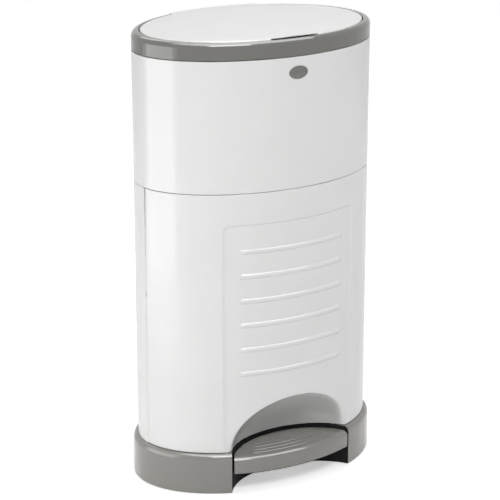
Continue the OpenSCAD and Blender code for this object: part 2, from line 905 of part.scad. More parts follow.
// One trap flap: half a disc on a hinge barrel; side is -1 for left and 1 for right
module flap(side) {
    top = deck_low - frame_t - 0.5;
    difference() {
        union() {
            intersection() {
                translate([0, throat_y, top - flap_t])
                    cylinder(r = flap_r, h = flap_t, $fn = fine);
                translate([side > 0 ? 0.5 : -far - 0.5, -far / 2, 0])
                    cube([far, far, 2 * far]);
            }
            translate([side * (flap_axis_x - 9) - 10, throat_y - 30, top - flap_t])
                cube([20, 60, flap_t]);
            translate([side * flap_axis_x, throat_y + flap_len / 2, flap_axis_z])
                rotate([90, 0, 0])
                    cylinder(r = flap_barrel, h = flap_len, $fn = small);
        }
        translate([side * flap_axis_x, throat_y + far / 2, flap_axis_z])
            rotate([90, 0, 0])
                cylinder(r = flap_pin_r + run_fit, h = far, $fn = small);
    }
}

// Left trap flap
module flap_left() {
    color(white)
        flap(-1);
}

// Right trap flap
module flap_right() {
    color(white)
        flap(1);
}

// Steel pins of the two flaps
module flap_pins() {
    color(steel)
    for (s = [-1, 1])
        translate([s * flap_axis_x, throat_y + flap_len / 2 + 7, flap_axis_z])
            rotate([90, 0, 0])
                cylinder(r = flap_pin_r, h = flap_len + 14, $fn = small);
}

// Film cassette of the refill: a ring-shaped trough on the deck
module refill_cassette() {
    trough = 2;
    color(white)
    translate([0, throat_y, deck_z])
        rotate_extrude($fn = fine)
            difference() {
                translate([throat_r + 0.5, 0])
                    square([cassette_r - throat_r - 0.5, cassette_h]);
                translate([throat_r + 0.5 + trough, trough])
                    square([cassette_r - throat_r - 0.5 - 2 * trough, cassette_h]);
            }
}

// Ring that covers the trough and leaves a slit for the film at its inner edge
module refill_cover() {
    color(grey)
    translate([0, throat_y, deck_z + cassette_h - 4])
        rotate_extrude($fn = fine)
            translate([throat_r + 4.5, 0])
                square([cassette_r - throat_r - 6.6, 2]);
}

// The folded film that fills the trough
module film_pack() {
    color(white)
    translate([0, throat_y, deck_z + 2])
        rotate_extrude($fn = fine)
            translate([throat_r + 3, 0])
                square([cassette_r - throat_r - 5.5, cassette_h - 6]);
}

// Pedal pad: the missing piece of the plinth's oval, with a rounded front edge, a hollow
// underside, a solid block for the lever and raised grip lines
module pedal() {
    shell = 3;
    block_w = lever_w + 8;
    grip_first = 13;
    grip_pitch = 9;
    color(grey)
    union() {
        difference() {
            intersection() {
                oval_turned(plinth_a, plinth_b)
                    polygon(concat([[0, pedal_low], [plinth_a - 1.5, pedal_low],
                        [plinth_a, pedal_low + 1.5]],
                        quarter(plinth_a, pedal_top, 9, 7, 6), [[0, pedal_top]]));
                niche_disc(pedal_r, pedal_low - past, pedal_top + past);
            }
            difference() {
                intersection() {
                    translate([0, 0, pedal_low - past])
                        oval(plinth_a - 2 * shell, plinth_b - 2 * shell,
                            pedal_top - shell - pedal_low + past);
                    niche_disc(pedal_r - shell, pedal_low - 2 * past, pedal_top - shell);
                }
                translate([-block_w / 2, block_front, 0])
                    cube([block_w, block_len + 24, far]);
            }
            for (y = pad_screw_ys)
                translate([0, y, 0])
                    cylinder(r = screw_r + run_fit, h = pedal_low + 12, $fn = small);
        }
        difference() {
            translate([-block_w / 2, block_front, lever_top])
                cube([block_w, block_len, pedal_low + weld - lever_top]);
            for (y = pad_screw_ys)
                translate([0, y, lever_top - past])
                    cylinder(r = screw_r + run_fit, h = 20, $fn = small);
        }
        for (i = [0 : grip_count - 1])
            intersection() {
                difference() {
                    oval(plinth_a - grip_first - i * grip_pitch,
                        plinth_b - grip_first - i * grip_pitch, pedal_top + 0.8);
                    translate([0, 0, -past])
                        oval(plinth_a - grip_first - i * grip_pitch - 2,
                            plinth_b - grip_first - i * grip_pitch - 2, far);
                }
                niche_disc(pedal_r - 5, pedal_top - 1, pedal_top + 2);
                translate([-62 + 6 * i, -far, 0])
                    cube([124 - 12 * i, far, far]);
            }
    }
}

// Steel lever under the pad: a flat bar with a tube for the axle
module pedal_lever() {
    color(steel)
    difference() {
        union() {
            translate([-lever_w / 2, bar_front, lever_top - lever_t])
                cube([lever_w, rod_y + 9 - bar_front, lever_t]);
            x_cylinder(axle_r + 3, lever_w, -pivot_front, pivot_z);
        }
        x_cylinder(axle_r + run_fit, lever_w + 2, -pivot_front, pivot_z);
        for (y = pad_screw_ys)
            translate([0, y, 0])
                cylinder(r = screw_r + hole_fit, h = far, $fn = small);
    }
}

// Axle of the pedal
module pedal_axle() {
    color(steel)
    x_cylinder(axle_r, lever_w + 22, -pivot_front, pivot_z);
}

// Two screws that hold the pad on the lever
module pedal_screws() {
    color(steel)
    for (y = pad_screw_ys)
        translate([0, y, lever_top - lever_t])
            screw(lever_t + 9);
}

// Push rod from the pedal's lever up to the lid
module push_rod() {
    color(steel)
    translate([0, rod_y, foot_low + 6])
        cylinder(r = rod_r, h = cap_top - 2 - foot_low - 6, $fn = small);
}

// Flat cap on the rod's upper end, under the lid's roller
module rod_cap() {
    color(dark)
    translate([0, rod_y, cap_top - 7])
        difference() {
            cylinder(r = 6, h = 7, $fn = small);
            translate([0, 0, -past])
                cylinder(r = rod_r, h = 5 + past, $fn = small);
        }
}

// Round foot on the rod's lower end, on the pedal's lever
module rod_foot() {
    ball = 6;
    color(dark)
    translate([0, rod_y, foot_low + ball])
        difference() {
            union() {
                sphere(r = ball, $fn = small);
                cylinder(r = ball, h = 6, $fn = small);
            }
            cylinder(r = rod_r, h = 10, $fn = small);
        }
}

// Collar fixed on the rod, the lower seat of the spring
module rod_collar() {
    color(steel)
    translate([0, rod_y, spring_low - collar_t])
        difference() {
            cylinder(r = 7, h = collar_t, $fn = small);
            translate([0, 0, -past])
                cylinder(r = rod_r, h = collar_t + 2 * past, $fn = small);
        }
}

// Return spring of the pedal, around the rod below the upper guide
module rod_spring() {
    turns = 9;
    coil_r = 5;
    end = 0.1;
    color(steel)
    translate([0, rod_y, spring_low + end])
        linear_extrude(spring_len - 2 * end, twist = -360 * turns, slices = turns * 12)
            translate([coil_r, 0])
                scale([1, 2.2])
                    circle(r = wire_r, $fn = 8);
}

// Two guides on the back wall that the rod slides in
module rod_guides() {
    color(dark)
    for (z = guide_zs)
        translate([0, 0, z])
            difference() {
                translate([-9, rod_y - 7, 0])
                    cube([18, body_b - wall - 0.9 - rod_y + 7, guide_t]);
                translate([0, rod_y, -past])
                    cylinder(r = rod_r + run_fit, h = guide_t + 2 * past, $fn = small);
            }
}

// Channel that keeps the bag away from the rod
module rod_cover() {
    half = 13;
    skin = 2;
    front = rod_y - 11;
    low = body_low + flange_t + 3;
    color(white)
    translate([0, 0, low])
        difference() {
            translate([-half, front, 0])
                cube([2 * half, body_b - wall - 1.4 - front, deck_low - 1 - low]);
            translate([-half + skin, front + skin, -past])
                cube([2 * half - 2 * skin, far, far * 2]);
            translate([-far / 2, body_b - flange_in - 1, seam_z - flange_t - 2 - low])
                cube([far, far, 2 * flange_t + 4]);
        }
}

base_plinth();
base_pan();
foot_pads();
pan_screws();
rear_body();
upper_body();
flange_screws();
floor_panel();
front_door();
door_pins();
door_catch();
top_ring();
ring_funnel();
ring_pin();
lid();
lid_seal();
lid_pins();
lid_roller();
release_button();
trap_frame();
flap_left();
flap_right();
flap_pins();
refill_cassette();
refill_cover();
film_pack();
pedal();
pedal_lever();
pedal_axle();
pedal_screws();
push_rod();
rod_cap();
rod_foot();
rod_collar();
rod_spring();
rod_guides();
rod_cover();
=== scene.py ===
# %% [markdown]
# # A pedal nappy bin
# The bin is an oval tower of glossy white mouldings on a warm grey plinth, with a grey ring
# and a domed lid on top. The construction comes in as a fixed frame, already in metres. Each
# part that shows a soft edge or a curved surface is then made again here as a surface worked
# out with numpy, in the place that the frame gives it.

# %% The frame
import json
import math

import bmesh
import bpy
import numpy as np
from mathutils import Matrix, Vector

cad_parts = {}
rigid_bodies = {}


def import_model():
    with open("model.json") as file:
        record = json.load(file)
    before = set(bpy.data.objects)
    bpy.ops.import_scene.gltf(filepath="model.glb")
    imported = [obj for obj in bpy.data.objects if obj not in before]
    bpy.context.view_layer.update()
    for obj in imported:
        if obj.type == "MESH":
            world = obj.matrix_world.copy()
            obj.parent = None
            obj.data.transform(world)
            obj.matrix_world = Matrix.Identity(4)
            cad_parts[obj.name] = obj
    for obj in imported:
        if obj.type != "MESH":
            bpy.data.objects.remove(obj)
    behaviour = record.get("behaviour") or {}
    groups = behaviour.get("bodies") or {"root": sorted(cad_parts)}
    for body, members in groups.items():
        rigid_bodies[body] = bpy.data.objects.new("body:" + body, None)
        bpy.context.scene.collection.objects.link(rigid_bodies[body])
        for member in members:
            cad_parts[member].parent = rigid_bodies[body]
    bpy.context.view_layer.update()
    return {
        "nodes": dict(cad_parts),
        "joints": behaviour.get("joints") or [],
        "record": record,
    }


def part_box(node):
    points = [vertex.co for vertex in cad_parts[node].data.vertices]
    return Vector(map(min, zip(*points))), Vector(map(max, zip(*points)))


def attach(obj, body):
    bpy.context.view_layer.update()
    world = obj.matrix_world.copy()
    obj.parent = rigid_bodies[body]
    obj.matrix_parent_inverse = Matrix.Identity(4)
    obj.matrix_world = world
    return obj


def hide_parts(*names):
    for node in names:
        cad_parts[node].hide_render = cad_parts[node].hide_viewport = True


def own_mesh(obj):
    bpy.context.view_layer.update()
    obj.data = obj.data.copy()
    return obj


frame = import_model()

# %% [markdown]
# ## Sizes
# Sizes are read from the frame where it can give them. A millimetre is named once, so that
# wall thicknesses and edge radii can be written as they would be on a drawing.

# %% Sizes of the shells
MM = 0.001
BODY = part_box("upper_body")
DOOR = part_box("front_door")
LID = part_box("lid")
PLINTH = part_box("base_plinth")
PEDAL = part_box("pedal")
BODY_A, BODY_B = BODY[1].x, -BODY[0].y
PLINTH_A, PLINTH_B = PLINTH[1].x, PLINTH[1].y
WALL = 2.6 * MM
JOINTS = {row["name"]: row for row in frame["joints"]}


def mm(*lengths):
    """Lengths in metres as text in millimetres."""
    return ", ".join(f"{length / MM:.1f}" for length in lengths) + " mm"


print("half axes of the body:", mm(BODY_A, BODY_B))

# %% [markdown]
# ## Tools for surfaces
# Every moulding of this bin follows the same oval, so most of them are one outline carried
# round it. An outline's points are (half width, half depth, height): each point draws an oval
# of its own. A soft edge belongs in the outline: where two lines meet, a short curve takes
# the corner off, and that curve is what catches the light on a real moulding.


# %% Outlines
def softened(corners, steps=4):
    """Closed outline from corners whose last number is a softness. Each corner is replaced
    by the parabola that leaves one side and joins the next at that distance from the corner:
    (1 - s)^2 start + 2 s (1 - s) corner + s^2 end, for s from 0 to 1."""
    data = np.array(corners, float)
    corner, soft = data[:, :-1], data[:, -1:]
    back = np.roll(corner, 1, axis=0) - corner
    ahead = np.roll(corner, -1, axis=0) - corner
    start = corner + soft * back / np.linalg.norm(back, axis=1, keepdims=True)
    end = corner + soft * ahead / np.linalg.norm(ahead, axis=1, keepdims=True)
    s = np.linspace(0, 1, steps + 1)[None, :, None]
    curve = ((1 - s) ** 2 * start[:, None] + 2 * s * (1 - s) * corner[:, None]
             + s**2 * end[:, None])
    return curve.reshape(-1, data.shape[1] - 1)


def inset(half_x, half_y, rows):
    """Rows (inset, height, ...) as outline rows (half_x - inset, half_y - inset, height, ...)."""
    rows = np.array(rows, float)
    return np.column_stack([half_x - rows[:, 0], half_y - rows[:, 0], rows[:, 1:]])


def quarter(start, end, steps=10):
    """A quarter oval between two outline points: the half axes follow 1 - cos and the height
    follows sin, so it leaves start upwards and reaches end level."""
    start, end = np.array(start, float), np.array(end, float)
    angle = np.linspace(0, math.pi / 2, steps + 1)
    share = np.column_stack([1 - np.cos(angle), 1 - np.cos(angle), np.sin(angle)])
    return start + share * (end - start)


def spaced(start, end, step, spots=()):
    """Numbers from start to end, step apart, and closer round each spot (place, reach,
    spacing). The inverse of the wanted spacing is summed up and shared out evenly."""
    fine = np.linspace(start, end, 4001)
    density = np.full(fine.shape, 1 / step)
    for place, reach, spacing in spots:
        density = np.maximum(density, np.exp(-(((fine - place) / reach) ** 4)) / spacing)
    total = np.concatenate([[0], np.cumsum((density[1:] + density[:-1]) / 2 * np.diff(fine))])
    return np.interp(np.linspace(0, total[-1], math.ceil(total[-1]) + 1), total, fine)


# %% Outlines of walls and plates
def wall_outline(first, second, low, high, soft):
    """Softened outline of a wall between two ovals (half width, half depth) and two heights.
    soft is one softness for each corner: first low, first high, second high, second low."""
    corners = [(*first, low), (*first, high), (*second, high), (*second, low)]
    return softened(np.column_stack([corners, np.broadcast_to(soft, 4)]))


def plate_outline(x, y, soft):
    """Softened outline of a flat plate between the (low, high) of x and of y. soft is one
    softness, or one for each corner, counted from the low one along x."""
    corners = [(x[0], y[0]), (x[1], y[0]), (x[1], y[1]), (x[0], y[1])]
    return softened(np.column_stack([corners, np.broadcast_to(soft, 4)]))


def smooth(share):
    """A step with level ends: 3 s^2 - 2 s^3, where s is the share kept between 0 and 1."""
    share = np.clip(share, 0, 1)
    return share**2 * (3 - 2 * share)


print("a softened plate has", len(plate_outline((0, 1), (0, 1), 0.1)), "outline points")


# %% [markdown]
# Carrying an outline round its ovals gives a grid of points. Where a moulding is cut by a
# plane or by the oval toe recess, each outline point has its own first and last angle, so the
# cut face comes out true without any boolean.


# %% Grids
def carried(outline, turn):
    """Grid of x = half width cos(turn), y = half depth sin(turn), z = height. turn has one
    row for each step round the oval, and may differ from point to point of the outline."""
    half_x, half_y, height = np.asarray(outline).T
    turn = turn if np.ndim(turn) == 2 else np.asarray(turn)[:, None]
    x, y = half_x * np.cos(turn), half_y * np.sin(turn)
    return np.stack([x, y, np.broadcast_to(height, x.shape)], axis=-1)


def between(first, last, steps):
    """Angles from first to last, which are numbers or one for each point of an outline."""
    share = np.asarray(steps) if np.ndim(steps) else np.linspace(0, 1, steps + 1)
    return first + share[:, None] * (np.asarray(last) - first)


def crossing(test, low, high, rounds=40):
    """The angles at which test turns from negative at low to positive at high, by halving
    the bracket again and again for all points at once."""
    for _ in range(rounds):
        middle = (low + high) / 2
        inside = test(middle) < 0
        low, high = np.where(inside, middle, low), np.where(inside, high, middle)
    return (low + high) / 2


def laid(points, along, centre):
    """A shape made upright about the z axis, laid along x, y or z with its origin at centre."""
    order = {"z": [0, 1, 2], "x": [2, 0, 1], "y": [0, 2, 1]}[along]
    return points[..., order] + np.array(centre)


# %% [markdown]
# A grid becomes faces by joining each point to its neighbours. The grid may close on itself
# either way, as a ring does, and where it has two ends each one is closed by a face.


# %% Faces of a grid
def quads(rows, columns, wrap_rows=False, wrap_columns=False):
    """Corner numbers of the faces between neighbouring points of a rows by columns grid."""
    i, j = np.meshgrid(np.arange(rows - (not wrap_rows)), np.arange(columns - (not wrap_columns)),
                       indexing="ij")
    right, up = (i + 1) % rows, (j + 1) % columns
    corners = [i * columns + j, right * columns + j, right * columns + up, i * columns + up]
    return np.stack(corners, axis=-1).reshape(-1, 4).tolist()


def sheet(points, wrap_rows=False, wrap_columns=False):
    """The faces of a grid of points."""
    return points.reshape(-1, 3), quads(*points.shape[:2], wrap_rows, wrap_columns)


def solid(points, ring=False):
    """A closed outline carried along a path: the columns close on themselves. The path is
    a ring, or it has two ends that are capped."""
    rows, columns = points.shape[:2]
    faces = quads(rows, columns, ring, True)
    if not ring:
        faces.append(list(range(columns)))
        faces.append(list(range(rows * columns - 1, (rows - 1) * columns - 1, -1)))
    return points.reshape(-1, 3), faces


# %% [markdown]
# Small parts come from the same grids. A boss or a knuckle is a profile turned about its axis,
# and a catch or a lever is a flat outline drawn along an axis, with softened ends.


# %% Turned and drawn shapes
def spun(profile, along, centre, turns=48):
    """A closed profile (radius, distance) turned about an axis through centre, such as a
    knuckle or a boss. Where the profile touches the axis its points meet in a pole."""
    profile = np.asarray(profile, float)
    rows = np.column_stack([profile[:, 0], profile[:, 0], profile[:, 1]])
    turn = np.linspace(0, 2 * math.pi, turns, endpoint=False)
    return solid(laid(carried(rows, turn), along, centre), ring=True)


def bar(outline, along, start, end, soft=0.3 * MM):
    """A flat closed outline drawn along an axis from start to end. Near each end it draws in
    towards its middle on a quarter round."""
    angle = np.linspace(0, math.pi / 2, 4)
    rise, draw = soft * (1 - np.cos(angle)), soft * (1 - np.sin(angle))
    places = np.concatenate([start + rise, (end - rise)[::-1]])
    shrink = np.concatenate([draw, draw[::-1]])[:, None, None]
    inward = outline.mean(axis=0) - outline
    inward /= np.linalg.norm(inward, axis=1, keepdims=True)
    flat = outline[None] + shrink * inward[None]
    height = np.broadcast_to(places[:, None, None], flat.shape[:2] + (1,))
    return solid(laid(np.concatenate([flat, height], axis=-1), along, (0, 0, 0)))


# %% [markdown]
# One piece is one object from several such shapes. Doubled points are joined and all faces
# turned outwards. Edges sharper than a limit stay crisp, and a Weighted Normal modifier shades
# the large faces evenly, as the polished face of a mould leaves them.


# %% From shapes to an object
def placed(name, data):
    """A new object of that data in the scene."""
    made = bpy.data.objects.new(name, data)
    bpy.context.scene.collection.objects.link(made)
    return made


def piece(name, body, material, parts, replaced=(), crisp=32):
    """One object from several (points, faces) pairs: doubled points are joined, the faces are
    turned outwards, and edges sharper than crisp degrees stay crisp. It rides on body."""
    points, faces, count = [], [], 0
    for part_points, part_faces in parts:
        points.append(part_points)
        faces += [[count + corner for corner in face] for face in part_faces]
        count += len(part_points)
    mesh = bpy.data.meshes.new(name)
    mesh.from_pydata(np.concatenate(points).tolist(), [], faces)
    work = bmesh.new()
    work.from_mesh(mesh)
    bmesh.ops.remove_doubles(work, verts=work.verts, dist=0.01 * MM)
    bmesh.ops.dissolve_degenerate(work, edges=work.edges, dist=0.01 * MM)
    bmesh.ops.recalc_face_normals(work, faces=work.faces)
    work.to_mesh(mesh)
    work.free()
    mesh.shade_smooth()
    mesh.set_sharp_from_angle(angle=math.radians(crisp))
    made = placed(name, mesh)
    weighted = made.modifiers.new("even shading", "WEIGHTED_NORMAL")
    weighted.keep_sharp = True
    mesh.materials.append(material)
    if replaced:
        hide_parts(*replaced)
    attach(made, body)
    print(name, len(mesh.polygons), "faces")
    return made




# %% [markdown]
# ## Finishes
# Moulded plastic is never one flat colour. It has a broad, faint mottle from the way the melt
# flowed, a gloss that differs a little from place to place, and a fine skin. Each finish is
# built from three noises on Object coordinates: a broad one for colour, a middle one for
# roughness, and a fine one for bump. A small helper makes a node and sets or links its
# sockets, so that a whole finish reads as a short list.


# %% Nodes
def node(tree, kind, inputs=(), **options):
    """A new shader node of that kind. options are its settings, such as operation. inputs
    gives its sockets by name or number: another node's socket is linked, a value is set."""
    made = tree.nodes.new("ShaderNode" + kind)
    for option, value in options.items():
        setattr(made, option, value)
    for socket, value in dict(inputs).items():
        if isinstance(value, bpy.types.NodeSocket):
            tree.links.new(value, made.inputs[socket])
        else:
            made.inputs[socket].default_value = value
    return made


def ramp(tree, factor, low, high):
    """The colour of a ramp over factor between two stops (position, colour)."""
    made = node(tree, "ValToRGB", {"Fac": factor})
    for stop, (position, colour) in zip(made.color_ramp.elements, (low, high)):
        stop.position = position
        stop.color = (*colour, 1)
    return made.outputs["Color"]


def graded(tree, value, first, last, low=0.0, high=1.0):
    """A smooth step from low to high as value goes from first to last."""
    sockets = {"Value": value, "From Min": first, "From Max": last, "To Min": low, "To Max": high}
    return node(tree, "MapRange", sockets, interpolation_type="SMOOTHSTEP").outputs["Result"]


def joined(tree, operation, first, second):
    """One number made from two by a Math node."""
    return node(tree, "Math", {0: first, 1: second}, operation=operation).outputs["Value"]


# %% Plastic, steel, rubber and film
MOTTLE = 14


def finish(name, colour, darker, rough, grain, depth, metallic=0.0, stretch=(1, 1, 1),
           coat=0.0, specular=0.5):
    """A Principled finish. colour is varied down to colour * darker by broad noise, rough is
    a (low, high) pair for the roughness noise, and grain and depth set the fine bump. coat is
    the weight of a smooth skin over it all."""
    material = bpy.data.materials.new(name)
    material.use_nodes = True
    tree = material.node_tree
    place = node(tree, "TexCoord")
    mapping = node(tree, "Mapping", {"Vector": place.outputs["Object"], "Scale": stretch})

    def noise(scale, detail):
        made = node(tree, "TexNoise", {"Vector": mapping.outputs["Vector"], "Scale": scale,
                                       "Detail": detail})
        return made.outputs["Fac"]

    tint = ramp(tree, noise(MOTTLE, 3), (0.35, [c * darker for c in colour]), (0.65, colour))
    gloss = node(tree, "MapRange", {"Value": noise(MOTTLE * 6, 2), "To Min": rough[0],
                                    "To Max": rough[1]})
    bump = node(tree, "Bump", {"Height": noise(grain, 2), "Strength": 0.3, "Distance": depth})
    sockets = tree.nodes["Principled BSDF"].inputs
    sockets["Metallic"].default_value = metallic
    sockets["Specular IOR Level"].default_value = specular
    sockets["Coat Weight"].default_value = coat
    sockets["Coat Roughness"].default_value = 0.04
    tree.links.new(tint, sockets["Base Color"])
    tree.links.new(gloss.outputs["Result"], sockets["Roughness"])
    tree.links.new(bump.outputs["Normal"], sockets["Normal"])
    return material


white_shell = finish("glossy_white", (0.86, 0.86, 0.855), 0.985, (0.07, 0.11), 240, 0.008 * MM)
warm_grey = finish("glossy_warm_grey", (0.262, 0.253, 0.234), 0.96, (0.09, 0.14), 300,
                   0.008 * MM, coat=0.45)
band_grey = finish("glossy_band_grey", (0.178, 0.175, 0.161), 0.96, (0.06, 0.1), 300,
                   0.006 * MM, coat=0.5)
black_plastic = finish("black_plastic", (0.006, 0.006, 0.006), 0.8, (0.55, 0.7), 1400,
                       0.05 * MM, specular=0.2)
steel = finish("drawn_steel", (0.55, 0.55, 0.57), 0.85, (0.22, 0.38), 500, 0.02 * MM,
               metallic=1.0, stretch=(1, 1, 8))
foot_rubber = finish("foot_rubber", (0.03, 0.03, 0.03), 0.8, (0.7, 0.85), 900, 0.1 * MM)
film = finish("folded_film", (0.78, 0.79, 0.82), 0.9, (0.25, 0.5), 300, 0.2 * MM)
FINISHES = {"white_shell": white_shell, "warm_grey": warm_grey, "black_plastic": black_plastic,
            "steel": steel, "foot_rubber": foot_rubber, "film": film}

# %% Finishes on the frame's own nodes
for row in frame["record"]["subparts"]:
    mesh = frame["nodes"][row["node"]].data
    mesh.materials.clear()
    mesh.materials.append(FINISHES[row["material_slot"]])
print("finishes:", ", ".join(FINISHES))

# %% [markdown]
# ## The front door
# The door is the front half of the lower shell. Its face carries three forms: a shallow sunk
# panel, six half-round ribs on the panel, and the domed recess that gives the toe room over
# the pedal. All three are depths over the same two parameters, the angle round the oval and
# the height, so the door is one surface, with its points crowded where forms end. The free
# edge draws back a little towards the top, and a notch in it gives a finger room.

# %% Measures of the door
PANEL_HALF, PANEL_TOP, PANEL_CORNER = 101 * MM, 378.2 * MM, 10 * MM
PANEL_DEPTH, PANEL_SLOPE = 1.7 * MM, 0.95 * MM
RIB_Z = (169.8 + 34.3 * np.arange(6)) * MM
RIB_HALF, RIB_R, RIB_RISE = 80 * MM, 3.25 * MM, 2 * MM
NICHE_A, NICHE_B, NICHE_Y = 99.2 * MM, 69.1 * MM, 124.1 * MM
SCOOP_Z, SCOOP_H, SCOOP_BLEND, SCOOP_POWER = 57 * MM, 71 * MM, 12 * MM, 1.8
DOOR_EDGE_Y, EDGE_R = 8.55 * MM, 9.1 * MM
NOTCH_Z, NOTCH_HALF, NOTCH_DEPTH = 273 * MM, 3.4 * MM, 1.6 * MM
WARP_Z, WARP, LIP_DOWN = 318 * MM, 2.3 * MM, 0.1 * MM
SKIN, ROUND = 0.9 * MM, 0.9 * MM
HINGE_X, HINGE_Y = JOINTS["door_swing"]["pos_m"][:2]
DOOR_LOW, DOOR_TOP = DOOR[0].z, DOOR[1].z
print("foot and top of the door:", mm(DOOR_LOW, DOOR_TOP))


# %% Relief of the door's face
def panel_depth(x, z):
    """Depth of the sunk panel: PANEL_DEPTH times a smooth step over the signed distance to a
    rectangle with rounded upper corners."""
    across = np.abs(x) - (PANEL_HALF - PANEL_CORNER)
    up = z - (PANEL_TOP - PANEL_CORNER)
    outside = np.hypot(np.maximum(across, 0), np.maximum(up, 0))
    distance = outside + np.minimum(np.maximum(across, up), 0) - PANEL_CORNER
    return PANEL_DEPTH * smooth(0.5 - distance / (2 * PANEL_SLOPE))


def rib_height(x, z):
    """Height of the nearest rib: RIB_RISE sqrt(1 - (d / r)^2), where d is the distance to
    the rib's middle line and r its radius, so its ends are quarter balls."""
    along = np.maximum(np.abs(x) - (RIB_HALF - RIB_R), 0)
    up = np.min(np.abs(z[..., None] - RIB_Z), axis=-1)
    share = np.hypot(along, up) / RIB_R
    return RIB_RISE * np.sqrt(np.clip(1 - share**2, 0, 1))


def scooped(x, y, z, grown):
    """y moved back to the toe recess where that lies deeper: the recess is the egg shape
    (x / a)^2 + ((y + NICHE_Y) / b)^2 + ((z - SCOOP_Z) / h)^SCOOP_POWER = 1, with a, b and h
    grown by the distance inside the skin, and the two surfaces blend over SCOOP_BLEND."""
    left = (1 - (np.maximum(z - SCOOP_Z, 0) / (SCOOP_H + grown)) ** SCOOP_POWER
            - (x / (NICHE_A + grown)) ** 2)
    recess = -NICHE_Y + (NICHE_B + grown) * np.sqrt(np.clip(left, 0, None))
    share = np.clip(1 - np.abs(recess - y) / SCOOP_BLEND, 0, None)
    return np.maximum(recess, y) + share**2 * SCOOP_BLEND / 4


# %% Outline of the door
rib_spots = [(z, 5.5 * MM, 0.65 * MM) for z in RIB_Z]
form_spots = [(PANEL_TOP - 5 * MM, 8 * MM, 0.8 * MM), (PANEL_TOP, 3 * MM, 0.4 * MM),
              (SCOOP_Z + 18 * MM, 26 * MM, 0.9 * MM), (SCOOP_Z + 58 * MM, 20 * MM, 0.5 * MM),
              (NOTCH_Z, 9 * MM, 1.5 * MM)]
face_z = spaced(DOOR_LOW + 0.8 * MM, DOOR_TOP - 1.5 * MM, 4.5 * MM, rib_spots + form_spots)
face = np.column_stack([np.zeros(len(face_z)), face_z])
back_z = spaced(DOOR_LOW, DOOR_TOP - 3 * MM, 9 * MM,
                [(SCOOP_Z + 36 * MM, 50 * MM, 3 * MM)])[::-1]
back = np.column_stack([np.full(len(back_z), WALL), back_z])
lip_turn = np.linspace(0.3, math.pi / 2, 5)
lip_round = np.column_stack([1.2 - 1.2 * np.cos(lip_turn), 1.25 * np.sin(lip_turn) - 1.5])
lip = (np.concatenate([lip_round, [[8.3, -0.25], [8.6, -0.55], [8.6, -3]]]) * MM
       + [0, DOOR_TOP - LIP_DOWN])
rim = np.array([[2.2, 0], [0.8, 0], [0.25, 0.25]]) * MM + [0, DOOR_LOW]
door_rows = np.concatenate([face, lip, back, rim])
depth, height = door_rows.T
door_x, door_y = BODY_A - depth, BODY_B - depth
print("the door's outline has", len(door_rows), "points")


# %% First and last angle of the door
def to_hinge(turn):
    """Squared distance from the hinge axis less the edge's radius squared."""
    return ((door_x * np.cos(turn) - HINGE_X) ** 2 + (door_y * np.sin(turn) - HINGE_Y) ** 2
            - EDGE_R**2)


notch = NOTCH_DEPTH * np.clip((NOTCH_HALF - np.abs(height - NOTCH_Z)) / MM, 0, 1)
warp = WARP * np.clip((height - WARP_Z) / (DOOR_TOP - WARP_Z), 0, 1)
door_first = math.pi + np.arcsin((DOOR_EDGE_Y + notch + warp) / door_y)
door_last = 2 * math.pi + crossing(to_hinge, np.arcsin(HINGE_Y / door_y), np.zeros(len(door_y)))
print("the door turns through", round(math.degrees((door_last - door_first).mean()), 1), "degrees")

# %% The door's surface
across = spaced(-BODY_A, BODY_A, 3.2 * MM, [
    (0, 100 * MM, 1.5 * MM), (-RIB_HALF, 6 * MM, 0.7 * MM), (RIB_HALF, 6 * MM, 0.7 * MM),
    (-PANEL_HALF, 5 * MM, 0.8 * MM), (PANEL_HALF, 5 * MM, 0.8 * MM)])
middle = 1.5 * math.pi + np.arcsin(np.clip(across / BODY_A, -1, 1))
middle = middle[(middle > door_first.max() + 0.02) & (middle < door_last.min() - 0.02)]
EDGE_SHARES, FACE_FROM = np.array([0, 0.0012, 0.004, 0.009]), 0.016
share = FACE_FROM + (1 - 2 * FACE_FROM) * (middle - middle[0]) / (middle[-1] - middle[0])
share = np.concatenate([EDGE_SHARES, share, 1 - EDGE_SHARES[::-1]])
turn = between(door_first, door_last, share)
skin = np.clip(1 - depth / SKIN, 0, 1)
arc = BODY_A * np.minimum(turn - door_first, door_last - turn)
edge = np.clip(1 - arc / ROUND, 0, 1)
sunk = skin * ROUND * (1 - np.sqrt(1 - edge**2))
x = (door_x - sunk) * np.cos(turn)
y = (door_y - sunk) * np.sin(turn)
z = np.broadcast_to(height, x.shape)
relief = skin * (panel_depth(x, z) - rib_height(x, z))
steep = np.hypot(BODY_B * np.cos(turn), BODY_A * np.sin(turn))
x = x - relief * BODY_B * np.cos(turn) / steep
y = y - relief * BODY_A * np.sin(turn) / steep
near_recess = np.abs(x) < NICHE_A + 10 * MM
y = np.where(near_recess, scooped(x, y, z, np.broadcast_to(depth, x.shape)), y)
door_parts = [solid(np.stack([x, y, z], axis=-1))]
print("the door's grid is", " by ".join(map(str, x.shape)))

